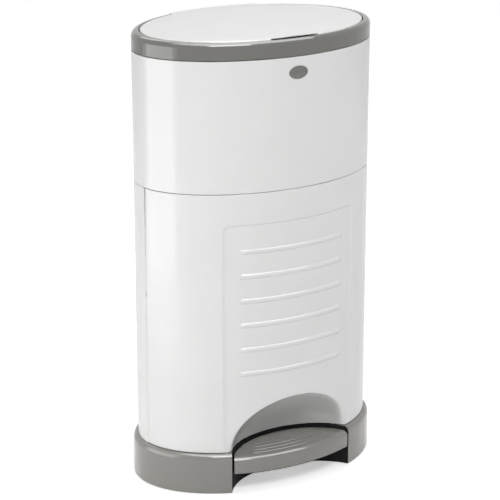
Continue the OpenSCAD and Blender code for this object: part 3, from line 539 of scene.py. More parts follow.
# %% Knuckles and tongue of the door
KNUCKLE_R, KNUCKLE_H, PIN_HOLE = 4.2 * MM, 22 * MM, 2.06 * MM
knuckle = np.array([[PIN_HOLE, 0], [KNUCKLE_R - 0.4 * MM, 0], [KNUCKLE_R, 0.4 * MM],
                    [KNUCKLE_R, KNUCKLE_H - 0.4 * MM], [KNUCKLE_R - 0.4 * MM, KNUCKLE_H],
                    [0, KNUCKLE_H], [0, KNUCKLE_H - 3 * MM], [PIN_HOLE, KNUCKLE_H - 3 * MM]])
for low, flip in ((DOOR_LOW, 1), (DOOR_TOP, -1)):
    door_parts.append(spun(knuckle * [1, flip], "z", (HINGE_X, HINGE_Y, low)))
TONGUE_X, TONGUE_Y = -(BODY_A - WALL - 5.6 * MM), -DOOR_EDGE_Y - 7.45 * MM
TONGUE_EDGE, TONGUE_HALF_H = TONGUE_X + 0.2 * MM, 7 * MM
root = plate_outline((-BODY_A + WALL - 0.4 * MM, TONGUE_EDGE), (TONGUE_Y, TONGUE_Y + 3 * MM),
                     np.array([0, 0.3, 0.3, 0]) * MM)
blade = plate_outline((TONGUE_X - 2.2 * MM, TONGUE_EDGE), (TONGUE_Y, TONGUE_Y + 16 * MM),
                      np.array([0.4, 0.4, 0.9, 0.9]) * MM)
door_parts += [bar(outline, "z", NOTCH_Z - TONGUE_HALF_H, NOTCH_Z + TONGUE_HALF_H)
               for outline in (root, blade)]
door = piece("door_moulding", "door", white_shell, door_parts, ["front_door"])

# %% [markdown]
# The toe recess carries painted shade: its white is duller than the rest, most of all low down,
# for the shade that falls in the deep recess. Its finish is the white one with its colour
# multiplied by a grey. A Mapping node turns the recess into a ball of radius 1, so one length
# says what lies inside it, and the ball's height sets the grey.

# %% Painted shade in the toe recess
# painted shade: inside the recess the white is multiplied by 0.6 at its foot, rising to 0.9 near
# its top
PAINTED_SHADE_EDGE, PAINTED_SHADE_LOW, PAINTED_SHADE_HIGH = (1.03, 0.98), (0, 3 * [0.6]), (0.9, 3 * [0.9])
painted_shade = white_shell.copy()
painted_shade.name = "glossy_white_scuffed"
tree = painted_shade.node_tree
base_colour = tree.nodes["Principled BSDF"].inputs["Base Color"]
unshaded = base_colour.links[0].from_socket
spot = node(tree, "TexCoord")
fitted = node(tree, "Mapping", {"Vector": spot.outputs["Object"],
                                "Location": (0, NICHE_Y / NICHE_B, -SCOOP_Z / SCOOP_H),
                                "Scale": (1 / NICHE_A, 1 / NICHE_B, 1 / SCOOP_H)})
out = node(tree, "VectorMath", {0: fitted.outputs["Vector"]}, operation="LENGTH")
inside = graded(tree, out.outputs["Value"], *PAINTED_SHADE_EDGE)
ball = node(tree, "SeparateXYZ", {"Vector": fitted.outputs["Vector"]})
# the grey of the painted shade, darker low in the recess
shade_grey = ramp(tree, ball.outputs["Z"], PAINTED_SHADE_LOW, PAINTED_SHADE_HIGH)
darkened = node(tree, "Mix", {"Factor": inside, "A": unshaded, "B": shade_grey}, data_type="RGBA",
              blend_type="MULTIPLY")
tree.links.new(darkened.outputs["Result"], base_colour)
# the door wears the white with painted shade in its recess
door.data.materials[0] = painted_shade
print("the door's finish:", painted_shade.name)

# %% [markdown]
# ## The lid and its ring
# The ring is a band with a rounded shoulder, and the lid a shallow dome that sits inside it
# with a thin gap. At the back the ring is cut down to a low rail, so that the lid's hinge
# tongue can swing. The ring is therefore two sweeps: a tall one round the front, and the
# rail between the two ends of the bay. The rim and the lid stand a little higher towards the
# hinge, so one function of y gives both of them that lift.

# %% Measures of the ring
RING_LOW, RING_TOP = BODY[1].z + 0.8 * MM, 620 * MM
HOLE_A, HOLE_B = LID[1].x + 1.3 * MM, 109.3 * MM
LEDGE_Z, LEDGE_T, LEDGE_W = 603.8 * MM, 2.8 * MM, 9.3 * MM
BAY_HALF, RAIL_TOP = 70 * MM, 600.5 * MM
SPIGOT_LOW, SPIGOT_TOP, SPIGOT_T, SPIGOT_GAP = 587.8 * MM, RING_LOW + 1 * MM, 1.7 * MM, 60 * MM
BACK_LIFT, LIFT_B, RIM_H = 3 * MM, 108 * MM, 8 * MM
RING_AXIS = JOINTS["hatch_lift"]["pos_m"]
LID_AXIS = JOINTS["lid_lift"]["pos_m"]
print("foot, top and bay of the ring:", mm(RING_LOW, RING_TOP, 2 * BAY_HALF))


# %% The lift towards the hinge
def back_lift(y):
    """How much the rim and the lid stand higher towards the hinge: with b = LIFT_B it is
    BACK_LIFT ((y / b + 1) / 2)^2."""
    return BACK_LIFT * np.clip((y / LIFT_B + 1) / 2, 0, 1) ** 2


def lift_above(points, height):
    """Adds that lift to the points of a grid that lie above height."""
    points[..., 2] += np.where(points[..., 2] > height, back_lift(points[..., 1]), 0)


print("lift at the front, middle and back:", mm(*back_lift(np.array([-LIFT_B, 0, LIFT_B]))))

# %% The ring's two sweeps and its spigot
shoulder = quarter((BODY_A, BODY_B, RING_TOP - 7 * MM),
                   (BODY_A - 7 * MM, BODY_B - 4.7 * MM, RING_TOP), 12)
inner_edge = [(HOLE_A + 0.4 * MM, HOLE_B + 0.3 * MM, RING_TOP),
              (HOLE_A, HOLE_B, RING_TOP - 0.5 * MM),
              (HOLE_A, HOLE_B, LEDGE_Z),
              (HOLE_A - LEDGE_W, HOLE_B - LEDGE_W, LEDGE_Z),
              (HOLE_A - LEDGE_W, HOLE_B - LEDGE_W, LEDGE_Z - LEDGE_T),
              (HOLE_A, HOLE_B, LEDGE_Z - LEDGE_T),
              (HOLE_A, HOLE_B, RING_LOW),
              (BODY_A - 0.5 * MM, BODY_B - 0.5 * MM, RING_LOW),
              (BODY_A, BODY_B, RING_LOW + 0.5 * MM)]
tall = np.concatenate([shoulder, inner_edge])
bay_turn = np.arccos(BAY_HALF / tall[:, 0])
tall_ring = carried(tall, between(math.pi - bay_turn, 2 * math.pi + bay_turn, 260))
rim_share = np.clip((tall_ring[..., 2] - RING_TOP + RIM_H) / RIM_H, 0, 1)
tall_ring[..., 2] += rim_share * back_lift(tall_ring[..., 1])
rail = wall_outline((BODY_A, BODY_B), (HOLE_A, HOLE_B), RING_LOW, RAIL_TOP,
                    np.array([0.4, 0.6, 0.4, 0.4]) * MM)
rail_turn = np.arccos((BAY_HALF + 0.5 * MM) / rail[:, 0])
spigot = wall_outline((HOLE_A, HOLE_B), (HOLE_A + SPIGOT_T, HOLE_B + SPIGOT_T), SPIGOT_LOW,
                      SPIGOT_TOP, np.array([0.4, 0, 0, 0.4]) * MM)
spigot_turn = np.arcsin(SPIGOT_GAP / spigot[:, 1])
spigot_turn = between(math.pi - spigot_turn, 2 * math.pi + spigot_turn, 160)
ring_parts = [solid(tall_ring),
              solid(carried(rail, between(rail_turn, math.pi - rail_turn, 60))),
              solid(carried(spigot, spigot_turn))]
print("the ring's sweeps:", [len(points) for points, faces in ring_parts], "points")

# %% Hinge knuckles and catch tab of the ring
KNUCKLE_X = 20 * MM
ring_knuckle = np.array([[1.56, -10], [3.6, -10], [4, -9.6], [4, 9.6], [3.6, 10], [1.56, 10]]) * MM
for side in (-1, 1):
    ring_parts.append(spun(ring_knuckle, "x", (side * KNUCKLE_X, RING_AXIS[1], RING_AXIS[2])))
    web = plate_outline((side * KNUCKLE_X - 10 * MM, side * KNUCKLE_X + 10 * MM),
                        (RING_AXIS[1] - 3 * MM, RING_AXIS[1] + 3 * MM), 0.3 * MM)
    ring_parts.append(bar(web, "z", RING_AXIS[2] + 2.5 * MM, RING_LOW + 1 * MM, 0.1 * MM))
TAB_Y, TAB_T, TAB_HALF = -HOLE_B + 3.5 * MM, 2.5 * MM, 9 * MM
TAB_LOW, TAB_TOP, LEG_IN, LEG_TOP = 569.8 * MM, LEDGE_Z - 1 * MM, 3.6 * MM, 579.8 * MM
tab = softened([(-TAB_HALF, TAB_LOW, 0.6 * MM), (-LEG_IN, TAB_LOW, 0.6 * MM),
                (-LEG_IN, LEG_TOP, 0.6 * MM), (LEG_IN, LEG_TOP, 0.6 * MM),
                (LEG_IN, TAB_LOW, 0.6 * MM), (TAB_HALF, TAB_LOW, 0.6 * MM),
                (TAB_HALF, TAB_TOP, 0.2 * MM), (-TAB_HALF, TAB_TOP, 0.2 * MM)])
ring_parts.append(bar(tab, "y", TAB_Y, TAB_Y + TAB_T))
piece("top_band", "hatch", band_grey, ring_parts, ["top_ring"])

# %% [markdown]
# The lid is a thin cap of a large ball. A finger slot is pressed into its front edge, with a
# little room behind it, and its underside is cut away beside the hinge bay. All of these move
# the points of the one dome, so the lid stays a single skin without a boolean.

# %% Measures of the lid
LID_A, LID_B = LID[1].x, LIFT_B
LID_CROWN, LID_EDGE, LID_T = LID[1].z, RING_TOP + 0.6 * MM, 3 * MM
SLOT_HALF, SLOT_DEPTH, LIP_LOW = 36 * MM, 5.6 * MM, LID_EDGE - 0.3 * MM
ROOM_HALF, ROOM_DEPTH, SILL_Z = SLOT_HALF - 1 * MM, 9.4 * MM, 614.5 * MM
TONGUE_HALF = BAY_HALF - 1.5 * MM
SKIRT_IN, SKIRT_LOW, SKIRT_T = 7.6 * MM, 611 * MM, 2.4 * MM
CROWN_DROP = 0.9 * MM
rise = LID_CROWN - CROWN_DROP - LID_EDGE
DOME_R = (LID_A**2 + rise**2) / (2 * rise)
print("rise and radius of the dome:", mm(rise, DOME_R))


# %% Outline of the dome
def dome(radius, below):
    """Outline rows of the dome: a ball cap of radius DOME_R that rises by rise over the
    edge, so its height is LID_EDGE + rise - DOME_R + sqrt(DOME_R^2 - radius^2) - below."""
    height = LID_EDGE + rise - DOME_R + np.sqrt(DOME_R**2 - radius**2) - below
    return np.column_stack([radius, radius * LID_B / LID_A, height])


crown_r = np.concatenate([np.linspace(0, 0.93, 22) ** 0.9, [0.96, 0.98]]) * (LID_A - 1.6 * MM)
lip_angle = np.linspace(0.12, math.pi / 2, 7)
lip_in = 1.5 * MM * (1 - np.sin(lip_angle))
lid_lip = np.column_stack([LID_A - lip_in, LID_B - lip_in,
                           LID_EDGE - 1.35 * MM * (1 - np.cos(lip_angle))])
lid_edge = [[LID_A, LID_B, LID_EDGE - LID_T + 0.3 * MM],
            [LID_A - 0.3 * MM, LID_B - 0.3 * MM, LID_EDGE - LID_T]]
under_in = np.array([3, 4.5, 6, 7.5, 9, 11, 13, 15, 18, 22, 28, 36, 48, 62, 80, 100, 120, 140])
dome_rows = np.concatenate([dome(crown_r, 0), lid_lip, lid_edge,
                            dome(LID_A - under_in * MM, LID_T), dome(np.zeros(1), LID_T)])
print("the dome's outline has", len(dome_rows), "points")

# %% The dome with its finger slot
front = 1.5 * math.pi
slot_angle = SLOT_HALF / LID_A
around_lid = spaced(front - math.pi, front + math.pi, 0.022,
                    [(front - slot_angle, 0.03, 0.004), (front + slot_angle, 0.03, 0.004)])[:-1]
dome_points = carried(dome_rows, around_lid)
x, y, z = np.moveaxis(dome_points, -1, 0)  # views: a change of them changes the grid
window = smooth(0.5 + (SLOT_HALF - np.abs(x)) / (1.6 * MM))
y[...] = np.maximum(y, -LID_B + SLOT_DEPTH * window)
behind = (y + LID_B - SLOT_DEPTH) / ROOM_DEPTH
in_room = (np.abs(x) < ROOM_HALF) & (behind > -0.01) & (behind < 1) & (z < LID_EDGE + 0.4 * MM)
under = np.arange(len(dome_rows))[None, :] > len(crown_r)
z[...] = np.where(in_room & under, np.maximum(z, LIP_LOW - 0.9 * MM * behind), z)
beside_bay = (np.abs(x) > BAY_HALF - 1 * MM) & (np.abs(x) < BAY_HALF + 12 * MM)
relieved = beside_bay & (y > LID_AXIS[1] - 10 * MM)
z[...] = np.where(relieved, np.maximum(z, LID_AXIS[2] + 3.6 * MM), z)
z += back_lift(y)
lid_parts = [sheet(dome_points, wrap_rows=True)]
print("the dome's grid is", " by ".join(map(str, x.shape)))

# %% [markdown]
# Under the dome a low skirt locates the lid in the ring. It runs all the way round beneath the
# finger slot's room, and its upper part leaves that room free. The hinge tongue carries the
# dome's edge out over the rail to a barrel, and a forked lever holds the roller that the
# push rod lifts.


# %% The skirt
def skirt_rows(low, high):
    """The skirt's outline between two heights."""
    outer, inner = SKIRT_IN, SKIRT_IN + SKIRT_T
    return wall_outline((LID_A - outer, LID_B - outer), (LID_A - inner, LID_B - inner),
                        low, high, np.array([0.3, 0.1, 0.1, 0.3]) * MM)


full_turn = np.linspace(0, 2 * math.pi, 240, endpoint=False)
lid_parts.append(solid(carried(skirt_rows(SKIRT_LOW, SILL_Z), full_turn), ring=True))
tall_skirt = skirt_rows(SILL_Z - 0.6 * MM, SKIRT_LOW + 8 * MM)
room_turn = np.arcsin(ROOM_HALF / tall_skirt[:, 0])
tall_points = carried(tall_skirt, between(front + room_turn, front + 2 * math.pi - room_turn, 220))
lift_above(tall_points, SILL_Z + 1 * MM)
lid_parts.append(solid(tall_points))
print("thickness and foot of the skirt:", mm(SKIRT_T, SKIRT_LOW))

# %% Hinge tongue and barrel
tongue = wall_outline((BODY_A - 0.6 * MM, BODY_B - 0.6 * MM), (BODY_A - 20 * MM, BODY_B - 20 * MM),
                      LID_EDGE - LID_T, LID_EDGE, np.array([0.6, 1, 0.1, 0.1]) * MM)
tongue_turn = np.arccos(TONGUE_HALF / tongue[:, 0])
tongue_points = carried(tongue, between(tongue_turn, math.pi - tongue_turn, 60))
lift_above(tongue_points, LID_EDGE - LID_T / 2)
lid_parts.append(solid(tongue_points))
barrel = [(0, -TONGUE_HALF), (2.8 * MM, -TONGUE_HALF), (3.2 * MM, 0.4 * MM - TONGUE_HALF),
          (3.2 * MM, TONGUE_HALF - 0.4 * MM), (2.8 * MM, TONGUE_HALF), (0, TONGUE_HALF)]
lid_parts.append(spun(barrel, "x", LID_AXIS))
print("length of the barrel:", mm(2 * TONGUE_HALF))


# %% The forked lever, and the lid as one piece
def capsule(start, end, radius, steps=16):
    """Outline round two points: a half circle about each, joined by straight sides."""
    heading = math.atan2(*(end - start)[::-1])
    angle = np.linspace(-math.pi / 2, math.pi / 2, steps)
    cap = radius * np.column_stack([np.cos(heading + angle), np.sin(heading + angle)])
    return np.concatenate([end + cap, start - cap])


ARM_X, ARM_HALF_T = 8.5 * MM, 1.5 * MM
roller_low, roller_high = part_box("lid_roller")
roller = np.array([(roller_low.y + roller_high.y) / 2, (roller_low.z + roller_high.z) / 2])
arm = capsule(np.array(LID_AXIS[1:]), roller, 3.4 * MM)
lid_parts += [bar(arm, "x", side * ARM_X - ARM_HALF_T, side * ARM_X + ARM_HALF_T)
              for side in (-1, 1)]
piece("domed_lid", "lid", white_shell, lid_parts, ["lid"])

# %% [markdown]
# ## Plinth and pedal
# The plinth is a skirt with a rounded shoulder, and the pedal fills the gap that the oval toe
# recess cuts out of it. Both follow the same oval, and both end where their outline points
# meet the recess's own oval in plan, so one function finds those angles for either of them.

# %% Measures of the plinth and the pedal
PLINTH_TOP, PLINTH_LIFT, PLINTH_SKIRT = PLINTH[1].z, PLINTH[0].z, 3 * MM
SHOULDER, SHOULDER_H = 7 * MM, 9 * MM
FLANGE_IN, FLANGE_T = SHOULDER + 14 * MM, 3 * MM
LINER_T, PAD_GAP, CUT_PLAY = 2 * MM, 1.8 * MM, 0.2 * MM
PEDAL_LOW, PEDAL_TOP = 28 * MM, 52 * MM
GRIP_FIRST, GRIP_PITCH, GRIP_COUNT = 13 * MM, 9 * MM, 4
GRIP_W, GRIP_H, TREAD_RISE = 1.5 * MM, 0.9 * MM, 1.9 * MM
print("tops of the plinth and the pedal:", mm(PLINTH_TOP, PEDAL_TOP))


# %% The angle at the recess
def niche_angle(half_x, half_y, wider, deeper):
    """The angle on the right at which each oval leaves the oval of the toe recess, which is
    made that much wider and deeper: the sign of (x / a)^2 + ((y + NICHE_Y) / b)^2 - 1 changes."""
    def outside(turn):
        return ((half_x * np.cos(turn) / (NICHE_A + wider)) ** 2
                + ((half_y * np.sin(turn) + NICHE_Y) / (NICHE_B + deeper)) ** 2 - 1)
    return crossing(outside, np.full(len(half_x), -math.pi / 2), np.zeros(len(half_x)))


# %% The plinth
foot = softened([(PLINTH_A - PLINTH_SKIRT, PLINTH_B - PLINTH_SKIRT, PLINTH_LIFT, 0.5 * MM),
                 (PLINTH_A, PLINTH_B, PLINTH_LIFT, 1.6 * MM),
                 (PLINTH_A, PLINTH_B, PLINTH_TOP - SHOULDER_H, 0)])[:10]
plinth_shoulder = quarter((PLINTH_A, PLINTH_B, PLINTH_TOP - SHOULDER_H),
                          (PLINTH_A - SHOULDER, PLINTH_B - SHOULDER, PLINTH_TOP), 14)
ledge = inset(PLINTH_A, PLINTH_B, [(FLANGE_IN, PLINTH_TOP), (FLANGE_IN, PLINTH_TOP - FLANGE_T),
                                   (PLINTH_SKIRT, PLINTH_TOP - FLANGE_T)])
plinth_rows = np.concatenate([foot, plinth_shoulder, ledge])
leave = niche_angle(plinth_rows[:, 0], plinth_rows[:, 1], CUT_PLAY, CUT_PLAY)
plinth_parts = [solid(carried(plinth_rows, between(leave, math.pi - leave, 300)))]
BOSS_IN, BOSS_DEGREES = 14 * MM, (14, 50, 130, 166, 200, 340)
boss = np.array([(1.8, 6.5), (5, 6.5), (5, 54.4), (1.8, 54.4)]) * MM
for spot in np.radians(BOSS_DEGREES):
    place = ((BODY_A - BOSS_IN) * math.cos(spot), (BODY_B - BOSS_IN) * math.sin(spot), 0)
    plinth_parts.append(spun(boss, "z", place, 24))
piece("plinth_skirt", "base", warm_grey, plinth_parts, ["base_plinth"])

# %% [markdown]
# The black pan closes the plinth from below. Its liner is the wall behind the pedal: it follows
# the recess's oval, stays just inside the plinth's skin, and thins towards its two ends, where
# only its edge shows as a dark line.

# %% Outline and angles of the liner
PAN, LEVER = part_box("base_pan"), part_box("pedal_lever")
PAN_TOP, PAN_RIM = PAN[0].z + 2.5 * MM, 3.3 * MM
LINER_END_T, LINER_TAPER = 0.3 * MM, 28 * MM
keep = (plinth_rows[:, 2] > PAN[0].z) & (np.arange(len(plinth_rows)) < len(plinth_rows) - 3)
hull = plinth_rows[keep] - [0.6 * MM, 0.6 * MM, 0]
hull_foot = hull[:1] * [1, 1, 0] + [0, 0, PAN[0].z]
liner_rows = np.concatenate([hull_foot, hull, hull[::-1], hull_foot])


def beyond(turn):
    """Whether the liner's oval, at that angle about its own middle, has left the plinth's."""
    x, y = NICHE_A * np.cos(turn), NICHE_B * np.sin(turn) - NICHE_Y
    return (x / liner_rows[:, 0]) ** 2 + (y / liner_rows[:, 1]) ** 2 - 1


liner_end = crossing(beyond, np.full(len(liner_rows), math.pi / 2), np.zeros(len(liner_rows)))
liner_turn = between(liner_end, math.pi - liner_end, 120)
print("the liner's outline has", len(liner_rows), "points")

# %% The liner
from_end = np.minimum(liner_turn - liner_end, math.pi - liner_end - liner_turn) * NICHE_A
inner_side = np.repeat([0.0, 1.0], len(liner_rows) // 2)
thin = inner_side * (LINER_END_T + (LINER_T - LINER_END_T) * smooth(from_end / LINER_TAPER))
liner = np.stack([(NICHE_A - thin) * np.cos(liner_turn),
                  (NICHE_B - thin) * np.sin(liner_turn) - NICHE_Y,
                  np.broadcast_to(liner_rows[:, 2], liner_turn.shape)], axis=-1)
print("the liner's grid is", " by ".join(map(str, liner.shape[:2])))

# %% The pan
pan_a, pan_b = PLINTH_A - PAN_RIM, PLINTH_B - PAN_RIM
pan_x = -np.cos(np.linspace(0.02, math.pi - 0.02, 161)) * pan_a
pan_far = pan_b * np.sqrt(1 - (pan_x / pan_a) ** 2)
bite = -NICHE_Y + NICHE_B * np.sqrt(np.clip(1 - (pan_x / NICHE_A) ** 2, 0, None))
pan_near = np.where(np.abs(pan_x) < NICHE_A, np.maximum(-pan_far, bite), -pan_far)
plate = [np.column_stack([pan_x, y, np.full(len(pan_x), z)]) for y, z in
         ((pan_near, PAN[0].z), (pan_far, PAN[0].z), (pan_far, PAN_TOP), (pan_near, PAN_TOP))]
pan_parts = [solid(liner), solid(np.stack(plate, axis=1))]
PIVOT = JOINTS["pedal_press"]["pos_m"]
LUG_R, LUG_T, LUG_X = 7 * MM, 6 * MM, LEVER[1].x + 3 * MM
lug = capsule(np.array([PIVOT[1], PAN_TOP - 1 * MM]), np.array(PIVOT[1:]), LUG_R)
lug[:, 1] = np.maximum(lug[:, 1], PAN_TOP - 0.5 * MM)
for side in (-1, 1):
    middle = side * (LUG_X + LUG_T / 2)
    pan_parts.append(bar(lug, "x", middle - LUG_T / 2, middle + LUG_T / 2))
piece("black_pan", "base", black_plastic, pan_parts, ["base_pan"])

# %% [markdown]
# The pedal's pad continues the plinth's face across the recess, with the same rounded shoulder.
# Its tread rises a little towards the back, and four low ridges on it give the shoe a grip.
# The ridges are heights over the tread's own grid, whose points are crowded along them.

# %% Outline of the pedal's pad
TREAD_FROM, TREAD_RAMP, PAD_CREST = 9 * MM, 50 * MM, 7 * MM
GRIP_IN = GRIP_FIRST + GRIP_PITCH * np.arange(GRIP_COUNT)
PAD_SIDE, PAD_BACK = PAD_GAP + 1.2 * MM, LINER_T + PAD_GAP + 0.2 * MM
tread_in = spaced(TREAD_FROM, PLINTH_B - NICHE_Y + NICHE_B - PAD_BACK, 3 * MM,
                  [(grip, 2.4 * MM, 0.35 * MM) for grip in GRIP_IN])
tread_z = PEDAL_TOP + TREAD_RISE * np.clip((tread_in - TREAD_FROM) / TREAD_RAMP, 0, 1) ** 2
tread = inset(PLINTH_A, PLINTH_B, np.column_stack([tread_in, tread_z]))
pad_front = inset(PLINTH_A, PLINTH_B, [(1.5 * MM, PEDAL_LOW),
                                       (0.45 * MM, PEDAL_LOW + 0.45 * MM),
                                       (0, PEDAL_LOW + 1.5 * MM)])
pad_shoulder = quarter((PLINTH_A, PLINTH_B, PEDAL_TOP - PAD_CREST),
                       (PLINTH_A - TREAD_FROM, PLINTH_B - TREAD_FROM, PEDAL_TOP), 14)
pad_top = np.concatenate([pad_front, pad_shoulder, tread[1:]])
pad_under = np.column_stack([pad_top[:, :2], np.full(len(pad_top), PEDAL_LOW)])[::-1]
pad_rows = np.concatenate([pad_top, pad_under])
pad_leave = niche_angle(pad_rows[:, 0], pad_rows[:, 1], -PAD_SIDE, -PAD_BACK)
pad_points = carried(pad_rows, between(-math.pi - pad_leave, pad_leave, 140))
print("the pad's grid is", " by ".join(map(str, pad_points.shape[:2])))

# %% Grip ridges and the block under the pad
nearest = np.abs(PLINTH_A - pad_rows[:, :1] - GRIP_IN)
line = nearest.argmin(axis=1)
ridge = GRIP_H * np.sqrt(np.clip(1 - (nearest.min(axis=1) / GRIP_W) ** 2, 0, 1))
reach = (62 - 6 * line) * MM
fade = np.clip((reach - np.abs(pad_points[..., 0])) / (2 * MM), 0, 1)
on_top = pad_rows[:, 2] > PEDAL_TOP - 0.01 * MM
pad_points[..., 2] += np.where(on_top, ridge * np.sqrt(fade), 0)
pad_parts = [sheet(pad_points, wrap_columns=True)]
half = len(pad_top)
for end in (0, -1):
    side = np.stack([pad_points[end, :half], pad_points[end, half:][::-1]])
    pad_parts.append(sheet(side))
block = plate_outline((-18 * MM, 18 * MM), (-97 * MM, -61 * MM), 1 * MM)
pad_parts.append(bar(block, "z", PEDAL[0].z, PEDAL_LOW + 0.5 * MM, 0.1 * MM))
piece("pedal_pad", "pedal", warm_grey, pad_parts, ["pedal"])

# %% [markdown]
# ## Release button
# The button is a small oval pad with a crowned face and a flange behind the body's wall, on a
# stem. All of it is one outline carried round an oval and then laid along y.

# %% The button
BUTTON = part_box("release_button")
BUTTON_Z = (BUTTON[0].z + BUTTON[1].z) / 2
face_y, stem_end = BUTTON[0].y, BUTTON[1].y - BUTTON[0].y
crown_share = np.linspace(0, 1, 9)
crown_rows = np.column_stack([12.4 * crown_share, 6.9 * crown_share, 0.8 * crown_share**2]) * MM
edge_rows = np.array([[13.2, 7.7, 0.98], [13.8, 8.3, 1.35], [14, 8.5, 1.9], [14, 8.5, 5.2],
                      [16.5, 11, 5.2], [16.5, 11, 6.5], [3, 3, 6.5]]) * MM
stem_rows = [(3 * MM, 3 * MM, stem_end - 0.4 * MM), (2.6 * MM, 2.6 * MM, stem_end),
             (0, 0, stem_end)]
button_rows = np.concatenate([crown_rows, edge_rows, stem_rows])
button_grid = carried(button_rows, np.linspace(0, 2 * math.pi, 96, endpoint=False))
piece("button_pad", "button", band_grey,
      [sheet(laid(button_grid, "y", (0, face_y, BUTTON_Z)), wrap_rows=True)], ["release_button"])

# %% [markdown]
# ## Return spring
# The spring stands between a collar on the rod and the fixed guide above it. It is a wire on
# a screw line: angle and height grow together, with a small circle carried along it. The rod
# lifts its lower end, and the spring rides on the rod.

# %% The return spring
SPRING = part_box("rod_spring")
SPRING_LOW, SPRING_H = SPRING[0].z, SPRING[1].z - SPRING[0].z
COIL_R, COILS, ROD_Y = 5 * MM, 9, (SPRING[0].y + SPRING[1].y) / 2
wire_r = SPRING[1].x - COIL_R
along = np.linspace(0, 1, COILS * 28 + 1)[:, None]
section = np.linspace(0, 2 * math.pi, 8, endpoint=False)
coil_angle = 2 * math.pi * COILS * along
coil_out = COIL_R + wire_r * np.cos(section)
coil_z = SPRING_LOW + wire_r + (SPRING_H - 2 * wire_r) * along + wire_r * np.sin(section)
coil_points = np.stack([coil_out * np.cos(coil_angle), ROD_Y + coil_out * np.sin(coil_angle),
                        coil_z], axis=-1)
spring = piece("return_spring", "rod", steel, [solid(coil_points)], ["rod_spring"])
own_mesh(spring)

# %% [markdown]
# ## Film
# The film is a long sleeve packed into its trough in tight folds, so its sides are a ripple
# down the height that also wanders a little round the ring.

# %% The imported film
film_low, film_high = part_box("film_pack")
film_middle = (film_low + film_high) / 2
outer_r, inner_r = (film_high.x - film_low.x) / 2, 63 * MM
FOLD, RIPPLE = 3 * MM, 0.5 * MM
climb = np.arange(film_low.z, film_high.z, FOLD / 8)
angle = np.linspace(0, 2 * math.pi, 160, endpoint=False)[:, None]
wander = 0.7 * np.sin(5 * angle) + 0.4 * np.sin(11 * angle + 1)
wave = 0.5 + 0.5 * np.cos(2 * math.pi * climb / FOLD + wander)
radius = np.concatenate([outer_r - RIPPLE * wave, inner_r + RIPPLE * wave[:, ::-1]], axis=1)
level = np.broadcast_to(np.concatenate([climb, climb[::-1]]), radius.shape)
film_points = np.stack([film_middle.x + radius * np.cos(angle),
                        film_middle.y + radius * np.sin(angle), level], axis=-1)
piece("packed_film", "base", film, [solid(film_points, ring=True)], ["film_pack"])

# %% [markdown]
# ## Light, floor and camera
# Glossy plastic shows its lamps, so each one is placed for its reflection as much as for its
# light. The main light comes from a box high in front, with weaker ones over the top, behind
# and low on the left, whose reflection runs down the body. The box on the right only fills the
# shade and is kept out of reflections. Two glint lamps do the opposite: they light nothing and
# draw the bright shapes on the body and on the lid.

# %% Lamps
TARGET = np.array([0, 0, 0.2705])


def soft_box(name, place, size, power, lights=True, mirrored=True):
    """An area lamp of that (width, height) at place, turned towards the middle of the bin.
    lights says whether it lights the object, mirrored whether gloss reflects it."""
    lamp = bpy.data.lights.new(name, "AREA")
    lamp.shape = "RECTANGLE"
    lamp.size, lamp.size_y = size
    lamp.energy = power
    made = placed(name, lamp)
    aim = np.array(place) - TARGET
    made.location = place
    made.rotation_euler = (math.acos(aim[2] / np.linalg.norm(aim)), 0, math.atan2(aim[0], -aim[1]))
    made.visible_camera = False
    made.visible_diffuse = lights
    made.visible_glossy = mirrored
    print(name, "of", power, "W at", place)


soft_box("left_box", (-1.0, 0.1, 0.3), (0.85, 0.7), 3.3)
soft_box("right_box", (2.2, -0.3, 1.0), (0.9, 1.8), 5.3, mirrored=False)
soft_box("top_box", (0.1, 0.2, 2.4), (1.6, 1.2), 9)
soft_box("front_box", (-0.5, -1.7, 2.1), (1.2, 0.8), 29)
soft_box("back_box", (0.3, 1.6, 2.1), (1.6, 0.8), 10)
soft_box("left_glint", (-0.6, 0.06, 0.3), (0.63, 0.58), 0.84, lights=False)
soft_box("top_glint", (0.1, -0.6, 2.4), (2.8, 2.2), 95, lights=False)

# %% [markdown]
# The world's light is weak and even. The camera sees it at a strength of 1, which is white, and
# gloss sees most of that, so that the mouldings reflect a pale studio and not a dark room. The
# floor is pale paper that is lifted in the same way, more so far out, so its light on the
# object stays plain and it keeps the object's shadow.


# %% The world
def white_share(tree, reflected):
    """The share of the studio's white that a ray sees: all of it from the camera or through
    clear material, the share called reflected in a gloss, and none where it lights."""
    ray = node(tree, "LightPath").outputs
    direct = joined(tree, "MAXIMUM", ray["Is Camera Ray"], ray["Is Transmission Ray"])
    mirrored = joined(tree, "MULTIPLY", ray["Is Glossy Ray"], reflected)
    return joined(tree, "MAXIMUM", direct, mirrored)


WORLD_LOW, WORLD_HIGH, WORLD_REFLECTED = 0.22, 0.24, 0.7
world = bpy.data.worlds.new("studio")
bpy.context.scene.world = world
world.use_nodes = True
tree = world.node_tree
background = tree.nodes["Background"]
background.inputs["Color"].default_value = (1, 1, 1, 1)
heading = node(tree, "TexCoord")
up = node(tree, "SeparateXYZ", {"Vector": heading.outputs["Generated"]})
sky = graded(tree, up.outputs["Z"], 0.2, 0.8, WORLD_LOW, WORLD_HIGH)
strength = node(tree, "MapRange", {"Value": white_share(tree, WORLD_REFLECTED), "To Min": sky,
                                   "To Max": 1.0})
tree.links.new(strength.outputs["Result"], background.inputs["Strength"])
print("the world lights at", WORLD_LOW, "to", WORLD_HIGH)

# %% The floor
FLOOR_HALF = 6
floor_mesh = bpy.data.meshes.new("floor")
corners = [(x * FLOOR_HALF, y * FLOOR_HALF, 0) for x, y in ((-1, -1), (1, -1), (1, 1), (-1, 1))]
floor_mesh.from_pydata(corners, [], [(0, 1, 2, 3)])
floor = placed("floor", floor_mesh)
print("width of the floor:", 2 * FLOOR_HALF, "m")

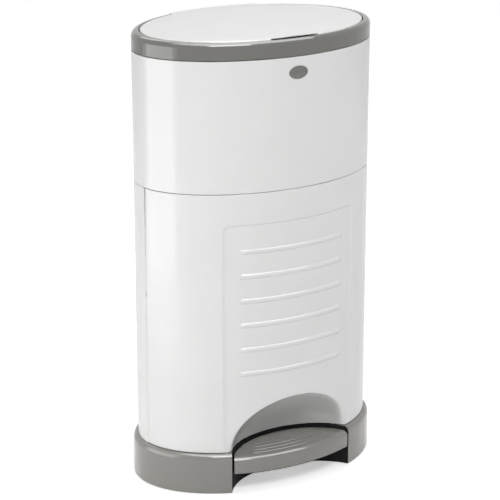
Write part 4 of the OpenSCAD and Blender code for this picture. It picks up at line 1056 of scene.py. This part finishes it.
# %% The floor's paper
PAPER, LIFT_NEAR, LIFT_FAR, FLOOR_REFLECTED = (0.9, 0.9, 0.9, 1), 0.46, 0.72, 0.6
paper = bpy.data.materials.new("pale_paper")
paper.use_nodes = True
tree = paper.node_tree
shader, output = tree.nodes["Principled BSDF"], tree.nodes["Material Output"]
shader.inputs["Base Color"].default_value = PAPER
shader.inputs["Roughness"].default_value = 0.9
shader.inputs["Specular IOR Level"].default_value = 0.1
where = node(tree, "TexCoord")
apart = node(tree, "VectorMath", {0: where.outputs["Object"]}, operation="LENGTH")
spread = graded(tree, apart.outputs["Value"], 0.2, 1.8, LIFT_NEAR, LIFT_FAR)
lift = joined(tree, "MULTIPLY", white_share(tree, FLOOR_REFLECTED), spread)
glow = node(tree, "Emission", {"Strength": lift})
both = node(tree, "AddShader", {0: shader.outputs["BSDF"], 1: glow.outputs["Emission"]})
tree.links.new(both.outputs["Shader"], output.inputs["Surface"])
floor_mesh.materials.append(paper)
print("the paper is lifted by", LIFT_NEAR, "near the bin and", LIFT_FAR, "far from it")

# %% [markdown]
# The camera stands left of the front and looks down a little. Its long lens keeps upright
# edges nearly parallel, and a small shift places the bin in the frame without turning it.

# %% Camera
AZIMUTH, ELEVATION, DISTANCE = math.radians(-31.22), math.radians(18.44), 2.7
SENSOR_WIDTH, FOCAL_LENGTH, SHIFT = 36, 140.45, (-0.0049, 0.0463)
towards = np.array([math.sin(AZIMUTH) * math.cos(ELEVATION),
                    -math.cos(AZIMUTH) * math.cos(ELEVATION), math.sin(ELEVATION)])
lens = bpy.data.cameras.new("camera")
lens.sensor_width, lens.lens = SENSOR_WIDTH, FOCAL_LENGTH
lens.shift_x, lens.shift_y = SHIFT
lens.clip_start, lens.clip_end = 0.1, 50
camera = placed("camera", lens)
camera.location = TARGET + DISTANCE * towards
camera.rotation_euler = (math.pi / 2 - ELEVATION, 0, AZIMUTH)
bpy.context.scene.camera = camera
bpy.context.scene.view_settings.view_transform = "Standard"
print("camera at", [round(value, 3) for value in camera.location])
